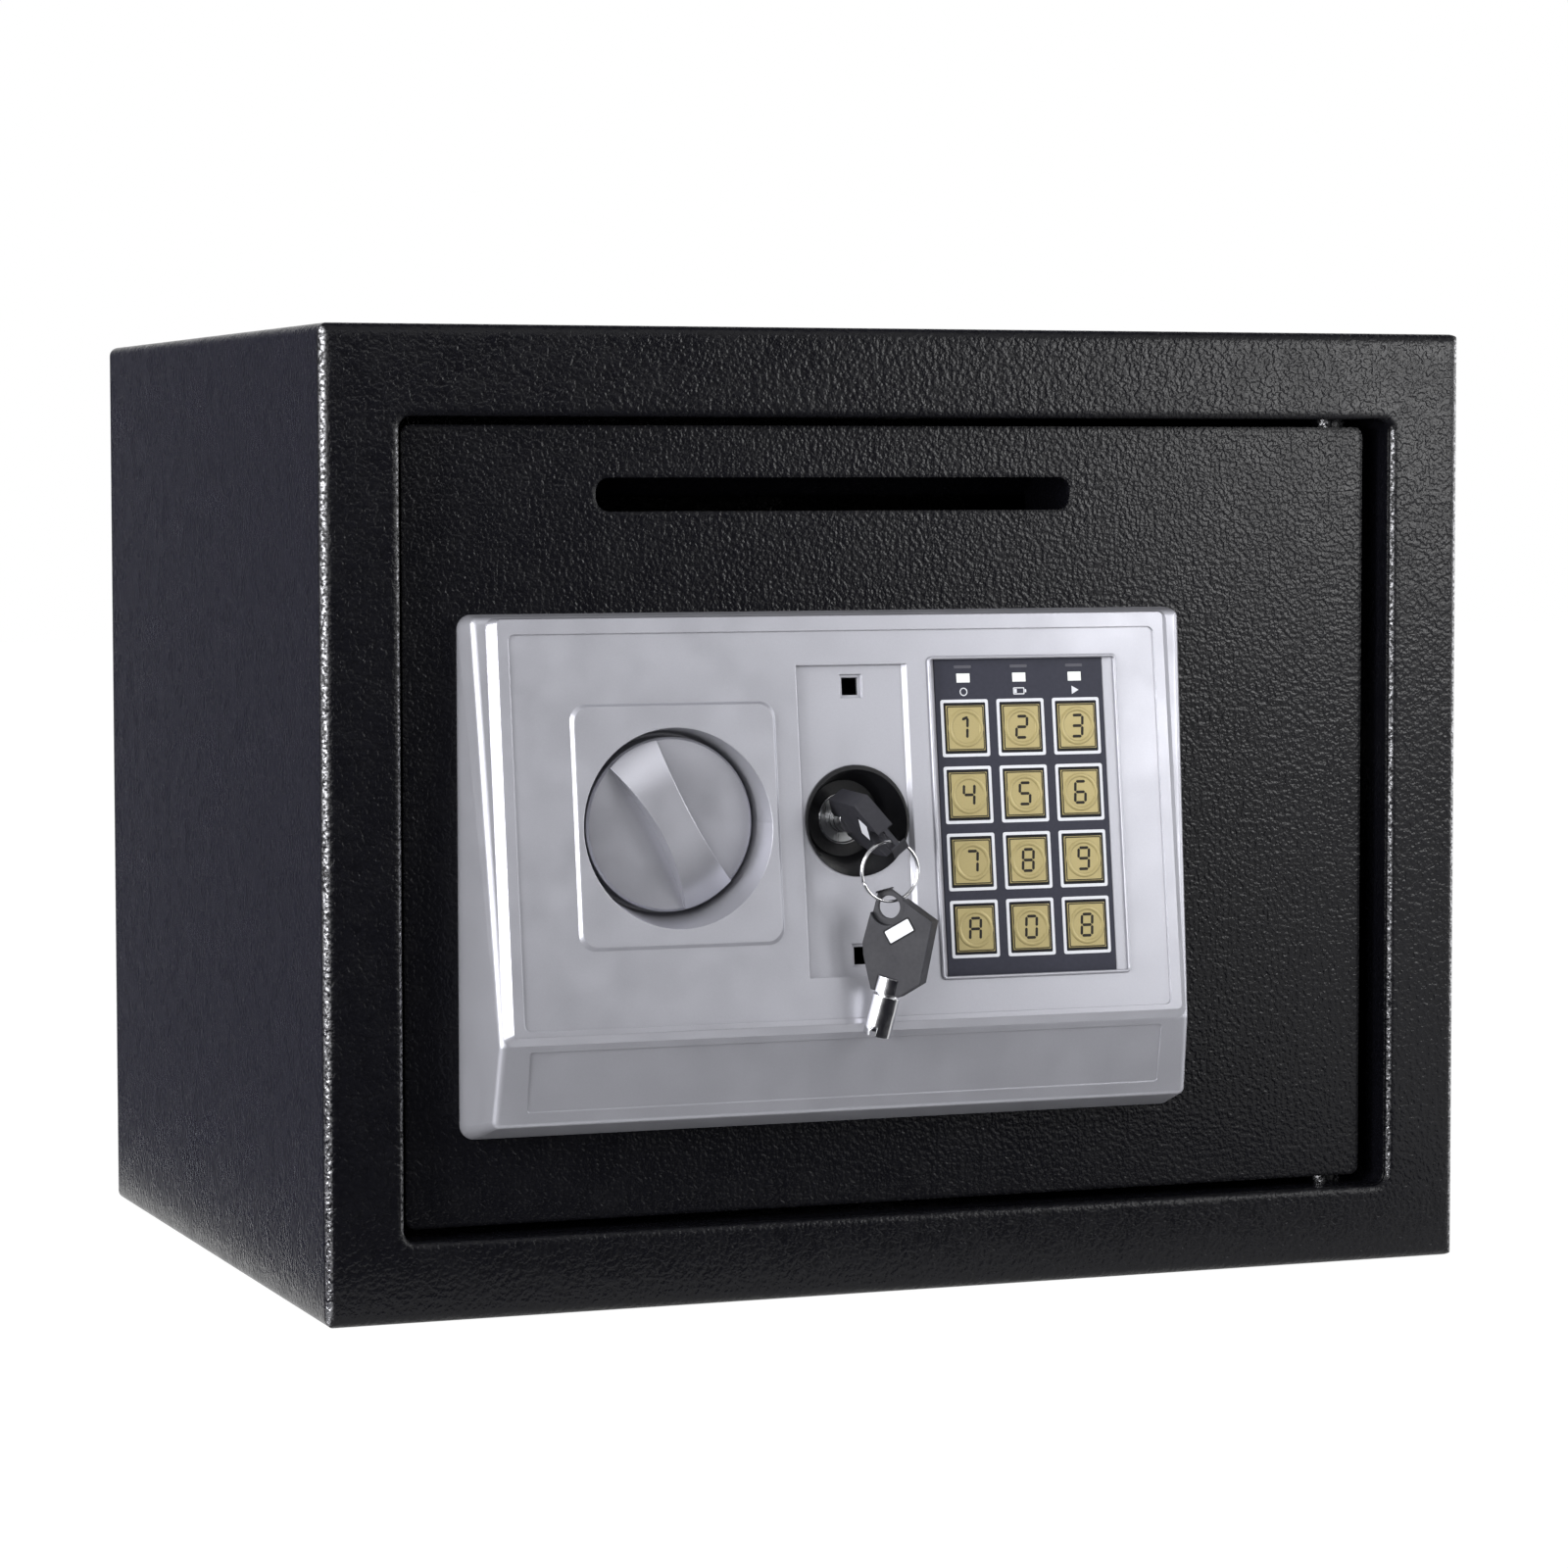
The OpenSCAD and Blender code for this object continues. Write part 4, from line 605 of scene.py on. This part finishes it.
def keypad_bead():
    """The thin raised bead round the keypad's recess."""
    bm = bmesh.new()
    (x0, x1), (z0, z1) = KEYPAD_X, KEYPAD_Z
    pts = outline(x0 - BEAD_OUT, x1 + BEAD_OUT, z0 - BEAD_OUT, z1 + BEAD_OUT, BEAD_CORNER, 6)
    tube(bm, [(x, PLATE_FRONT + BEAD_SUNK, z) for x, z in pts], BEAD_R, 10, closed=True)
    piece("keypad_bead", bm, "door", SILVER, FACE, smooth=True)


keypad_bead()

# Keys: split ring, chrome edge of the lock and the blank label inlays
RING_R, WIRE_R, RING_STEPS, RING_START = 9.2, 0.41, 64, 200
# Where the wire starts to cross over and how long it takes, in turns, and the turns' pitch in wires
CROSS_FROM, CROSS_SHARE, TURN_PITCH = 0.86, 0.28, 1.04


def split_ring():
    """Two turns of wire side by side, which cross over each other once."""
    low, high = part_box("key_ring")
    centre = (low + high) / 2 / MM
    points = []
    for i in range(2 * RING_STEPS + 1):
        turn = i / RING_STEPS
        a = math.radians(RING_START) + 2 * math.pi * turn
        shift = (min(1, max(0, (turn - CROSS_FROM) / CROSS_SHARE)) - 0.5) * 2 * WIRE_R * TURN_PITCH
        points.append((centre.x + RING_R * math.cos(a), centre.y + shift, centre.z + RING_R * math.sin(a)))
    bm = bmesh.new()
    tube(bm, points, WIRE_R, 10)
    made = piece("split_ring", bm, "ring", CHROME, smooth=True)
    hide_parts("key_ring")


split_ring()

TRIM_R, TRIM_WIRE, TRIM_SUNK = 7.9, 0.38, 0.1


def lock_trim():
    """Chrome edge round the plug's face."""
    low, high = (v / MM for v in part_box("lock_barrel"))
    ring = circle((low.x + high.x) / 2, (low.z + high.z) / 2, TRIM_R, 48)
    bm = bmesh.new()
    tube(bm, [(x, low.y + TRIM_SUNK, z) for x, z in ring], TRIM_WIRE, 8, closed=True)
    piece("lock_trim", bm, "door", CHROME, smooth=True)


lock_trim()

# The two bows' own spaces: x across, y through the bow, z up from its foot
BOW_T, BOW_HOLE = 5.6, (-6, 0, 25.6)
SPARE_AT, SPARE_YAW, SPARE_LEAN = (-19.028, -165.8, 123.512), -42, 15
LOCK_AT, BOW_TURN = (-23, -140.2, 148.783), 127
LABEL_AT, LABEL_SIZE, LABEL_TURN, LABEL_RIM = (-0.3, 19.8), (8.6, 4.0), 45, 0.5
# How far a label's rim stands out of the bow, the rim's depth, and how far the white inlay lies behind it
LABEL_LIFT, LABEL_DEPTH, INLAY_DIP = 0.12, 0.2, 0.05


def turned(axis, degrees):
    return Matrix.Rotation(math.radians(degrees), 4, axis)


def key_labels():
    """A blank white inlay in a black rim on each face of both bows."""
    spare = (Matrix.Translation(mm(*SPARE_AT)) @ turned("Z", SPARE_YAW) @ turned("Y", SPARE_LEAN)
             @ Matrix.Translation(-mm(*BOW_HOLE)))
    in_lock = Matrix.Translation(mm(*LOCK_AT)) @ turned("X", 90) @ turned("Z", BOW_TURN)
    w, h = (v / 2 for v in LABEL_SIZE)
    labels = (("door_key_label", "door_key", in_lock), ("spare_key_label", "spare_key", spare))
    for name, body, place in labels:
        bm = bmesh.new()
        front = -BOW_T / 2 - LABEL_LIFT
        back = front + LABEL_DEPTH
        label = centred(0, 0, w, h, 0.3)
        line_frame(bm, centred(0, 0, w + LABEL_RIM, h + LABEL_RIM, 0.6), label, back, front, 1)
        plate(bm, label, back, front + INLAY_DIP)
        bm.transform(turned("Y", -LABEL_TURN))
        bm.transform(Matrix.Translation((LABEL_AT[0], 0, LABEL_AT[1])))
        other = bm.copy()
        other.transform(Matrix.Scale(-1, 4, (0, 1, 0)))
        mesh = bpy.data.meshes.new("other_side")
        other.to_mesh(mesh)
        other.free()
        bm.from_mesh(mesh)
        bpy.data.meshes.remove(mesh)
        piece(name, bm, body, [WHITE_INK, BLACK_INK], place)


key_labels()


# Inside the door: crosses of the cover's screws, bands and rims of the batteries, and the plunger's spring
SCREW_HEAD_R, CROSS_R, CROSS_LINE, CROSS_SUNK, CROSS_LIFT = 3.2, 1.3, 0.6, 0.1, 0.03


def cross_recesses():
    """A dark cross in the head of each of the cover's four screws."""
    low, high = (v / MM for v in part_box("cover_screws"))
    bm = bmesh.new()
    for x in (low.x + SCREW_HEAD_R, high.x - SCREW_HEAD_R):
        for z in (low.z + SCREW_HEAD_R, high.z - SCREW_HEAD_R):
            for across in ((1, 0), (0, 1)):
                d = Vector(across) * CROSS_R
                bar(bm, (x - d.x, z - d.y), (x + d.x, z + d.y), CROSS_LINE,
                    high.y - CROSS_SUNK, high.y + CROSS_LIFT)
    piece("cover_screw_crosses", bm, "door", BLACK_INK)


BATTERIES, BATTERY_SIDES = 4, 32
# Where the band and the rims start and stop, the first two from the low end and the last from the high end
BAND, LOW_RIM, HIGH_RIM = (10, 17), (0.3, 1.2), (-2.2, -1.3)
BAND_LIFT, RIM_LIFT, WRAP_SUNK = 0.12, 0.15, 0.1


def battery_wraps():
    """A dark band and two steel rims on each battery."""
    low, high = (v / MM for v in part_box("batteries"))
    r = (high.y - low.y) / 2
    pitch = (high.z - low.z - 2 * r) / (BATTERIES - 1)
    wraps = ((low.x, BAND, BAND_LIFT, 0), (low.x, LOW_RIM, RIM_LIFT, 1), (high.x, HIGH_RIM, RIM_LIFT, 1))
    bm = bmesh.new()
    for i in range(BATTERIES):
        for end, (start, stop), lift, mat in wraps:
            x0, x1 = end + start, end + stop
            loops = [[(x, y, z) for y, z in circle(low.y + r, low.z + r + i * pitch, r + k, BATTERY_SIDES)]
                     for x, k in ((x0, -WRAP_SUNK), (x0, lift), (x1, lift), (x1, -WRAP_SUNK))]
            join(bm, loops, mat=mat)
    piece("battery_bands", bm, "door", [BLACK_INK, STEEL], smooth=True)


cross_recesses()
battery_wraps()

PLUNGER_TRAVEL, SPRING_TURNS, SPRING_WIRE, SPRING_GAP, TURN_STEPS = 4, 5, 0.4, 0.1, 24


def plunger_spring():
    """The return spring between the lift plate and the coil."""
    low, high = (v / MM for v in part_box("plunger_spring"))
    rim = SPRING_WIRE + SPRING_GAP
    cx, cy, r = (low.x + high.x) / 2, (low.y + high.y) / 2, (high.x - low.x) / 2 - rim
    z0, z1, steps = low.z + rim, high.z - rim, TURN_STEPS * SPRING_TURNS
    turn = circle(cx, cy, r, TURN_STEPS)
    wire = [(*turn[i % TURN_STEPS], z0 + (z1 - z0) * i / steps) for i in range(steps + 1)]
    bm = bmesh.new()
    tube(bm, wire, SPRING_WIRE, 8)
    made = piece("return_spring", bm, "door", STEEL, smooth=True)
    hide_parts("plunger_spring")
    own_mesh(made)


plunger_spring()


# Felt mat on the cabinet's floor
ANCHOR_X, MAT_HOLE_R, MAT_CELLS = 100, 9, (62, 41)
# Room left under and over the felt, height of its waves, and drop of its rim with the rim's share of all that
MAT_UNDER, MAT_OVER, MAT_WAVE, RIM_DROP, RIM_SHARE = 0.05, 0.45, 0.25, 0.5, 0.6
# Radians per millimetre of the waves along x and y, and where the first ones start
WAVE_X, WAVE_Y, WAVE_START = 0.11, 0.13, 1.3
# Each side of a grid cell: the step to its neighbour, and the side's two corners
CELL_SIDES = ((-1, 0, (0, 0), (0, 1)), (1, 0, (1, 0), (1, 1)),
              (0, -1, (0, 0), (1, 0)), (0, 1, (0, 1), (1, 1)))


def felt_mat():
    """The mat is a grid with two faces, faint waves and an opening round each anchor."""
    bm = bmesh.new()
    low, high = (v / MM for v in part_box("floor_mat"))
    nx, ny = MAT_CELLS
    w, d = high.x - low.x, high.y - low.y

    def at(i, j):
        return low.x + w * i / nx, low.y + d * j / ny

    def top_z(i, j):
        x, y = at(i, j)
        rim = min(i, j, nx - i, ny - j)
        wave = MAT_WAVE * math.sin(x * WAVE_X + WAVE_START) * math.cos(y * WAVE_Y)
        lift = wave - (RIM_DROP if rim == 0 else 0)
        return high.z - MAT_OVER + lift * min(1, rim + RIM_SHARE)

    def is_open(i, j):
        x, y = at(i + 0.5, j + 0.5)
        return any(math.hypot(x - side * ANCHOR_X, y) < MAT_HOLE_R for side in (-1, 1))

    corners = [(i, j) for i in range(nx + 1) for j in range(ny + 1)]
    under = {c: bm.verts.new((*at(*c), low.z + MAT_UNDER)) for c in corners}
    over = {c: bm.verts.new((*at(*c), top_z(*c))) for c in corners}
    solid = {(i, j) for i in range(nx) for j in range(ny) if not is_open(i, j)}
    for i, j in solid:
        for grid in (under, over):
            bm.faces.new((grid[i, j], grid[i + 1, j], grid[i + 1, j + 1], grid[i, j + 1]))
        for di, dj, a, b in CELL_SIDES:
            if (i + di, j + dj) not in solid:
                p, q = (i + a[0], j + a[1]), (i + b[0], j + b[1])
                bm.faces.new((under[p], under[q], over[q], over[p]))
    bmesh.ops.delete(bm, geom=[v for v in bm.verts if not v.link_faces], context="VERTS")
    made = piece("felt_mat", bm, "cabinet", FELT, smooth=True)
    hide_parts("floor_mat")


felt_mat()


# Stage: white floor and world, and plain soft light
def backdrop_share(tree):
    """1 for camera, glossy and transmission rays."""
    path = tree.nodes.new("ShaderNodeLightPath")
    out = path.outputs["Is Camera Ray"]
    for name in ("Is Glossy Ray", "Is Transmission Ray"):
        top = tree.nodes.new("ShaderNodeMath")
        top.operation = "MAXIMUM"
        tree.links.new(out, top.inputs[0])
        tree.links.new(path.outputs[name], top.inputs[1])
        out = top.outputs[0]
    return out


# The stage is laid out in metres
WORLD_LEVEL, FLOOR_GLOW, FLOOR_LEVEL, FLOOR_SIZE, FLOOR_DROP = 0.62, 0.9, 1.07, 6, 0.0002
LIGHT_AIM = (0, -0.13, 0.15)


def make_world():
    """White where it is seen, and a little darker as a light."""
    world = bpy.data.worlds.new("world")
    bpy.context.scene.world = world
    world.use_nodes = True
    tree = world.node_tree
    back = tree.nodes["Background"]
    back.inputs["Color"].default_value = (1, 1, 1, 1)
    level = tree.nodes.new("ShaderNodeMapRange")
    level.inputs["To Min"].default_value = WORLD_LEVEL
    level.inputs["To Max"].default_value = 1.0
    tree.links.new(backdrop_share(tree), level.inputs["Value"])
    tree.links.new(level.outputs["Result"], back.inputs["Strength"])


def make_floor():
    """A floor that glows where it is seen and still takes a share of the object's shadow."""
    mat = bpy.data.materials.new("floor")
    mat.use_nodes = True
    tree = mat.node_tree
    shader = tree.nodes["Principled BSDF"]
    shader.inputs["Base Color"].default_value = (0.8, 0.8, 0.8, 1)
    shader.inputs["Roughness"].default_value = 0.9
    glow = tree.nodes.new("ShaderNodeEmission")
    glow.inputs["Color"].default_value = (1, 1, 1, 1)
    glow.inputs["Strength"].default_value = FLOOR_LEVEL
    mix = tree.nodes.new("ShaderNodeMixShader")
    share = tree.nodes.new("ShaderNodeMath")
    share.operation = "MULTIPLY"
    share.inputs[1].default_value = FLOOR_GLOW
    tree.links.new(backdrop_share(tree), share.inputs[0])
    tree.links.new(share.outputs[0], mix.inputs[0])
    tree.links.new(shader.outputs[0], mix.inputs[1])
    tree.links.new(glow.outputs[0], mix.inputs[2])
    tree.links.new(mix.outputs[0], tree.nodes["Material Output"].inputs["Surface"])
    bm = bmesh.new()
    bmesh.ops.create_grid(bm, x_segments=1, y_segments=1, size=FLOOR_SIZE)
    floor = new_object("floor", bm, mat)
    floor.location.z = -FLOOR_DROP


def area_light(name, azimuth, elevation, distance, size, power):
    """A soft light aimed at the panel, in metres. Azimuth 0 is straight in front and 90 is to the right."""
    a, e = math.radians(azimuth), math.radians(elevation)
    back = Vector((math.sin(a) * math.cos(e), -math.cos(a) * math.cos(e), math.sin(e)))
    data = bpy.data.lights.new(name, "AREA")
    data.shape = "RECTANGLE"
    data.size, data.size_y = size
    data.energy = power
    lamp = bpy.data.objects.new(name, data)
    bpy.context.collection.objects.link(lamp)
    lamp.location = Vector(LIGHT_AIM) + back * distance
    lamp.rotation_euler = back.to_track_quat("Z", "Y").to_euler()
    lamp.visible_camera = False


def card(name, x0, x1, profile, tone):
    """A dark studio card from x0 to x1 along a line of (y, z) points. It shows in reflections only."""
    mat = bpy.data.materials.new(name)
    mat.use_nodes = True
    shader = mat.node_tree.nodes["Principled BSDF"]
    shader.inputs["Base Color"].default_value = (0, 0, 0, 1)
    shader.inputs["Specular IOR Level"].default_value = 0
    shader.inputs["Emission Color"].default_value = (*tone, 1)
    shader.inputs["Emission Strength"].default_value = 1
    bm = bmesh.new()
    join(bm, [[(x, y, z) for x in (x0, x1)] for y, z in profile], closed=False)
    made = new_object(name, bm, mat)
    made.visible_camera = made.visible_diffuse = made.visible_shadow = made.visible_transmission = False


make_world()
make_floor()
# Name, azimuth, elevation, distance, width and height, watts
area_light("strip_left", -70, 6, 1.5, (0.5, 1.2), 34)
area_light("soft_left", -40, 10, 0.62, (0.16, 0.3), 1.1)
area_light("key", 42, 15, 0.7, (0.22, 0.22), 1.6)
area_light("glint", -8, 34, 0.5, (0.1, 0.1), 0.13)
area_light("soft_right", 92, 8, 1.2, (0.8, 0.9), 9)
card("card_front", -0.6, 0.22, [(-0.19, 0.001), (-0.75, 0.001), (-0.75, 0.7)], (0.01, 0.01, 0.014))
card("card_side", -0.9, -0.2, [(-0.2, 0.001), (0.5, 0.001), (0.5, 0.7)], (0.12, 0.12, 0.17))
card("card_top", -0.6, 0.6, [(-0.25, 0.8), (0.6, 0.8)], (0.1, 0.1, 0.13))

bpy.context.scene.view_settings.view_transform = "Standard"
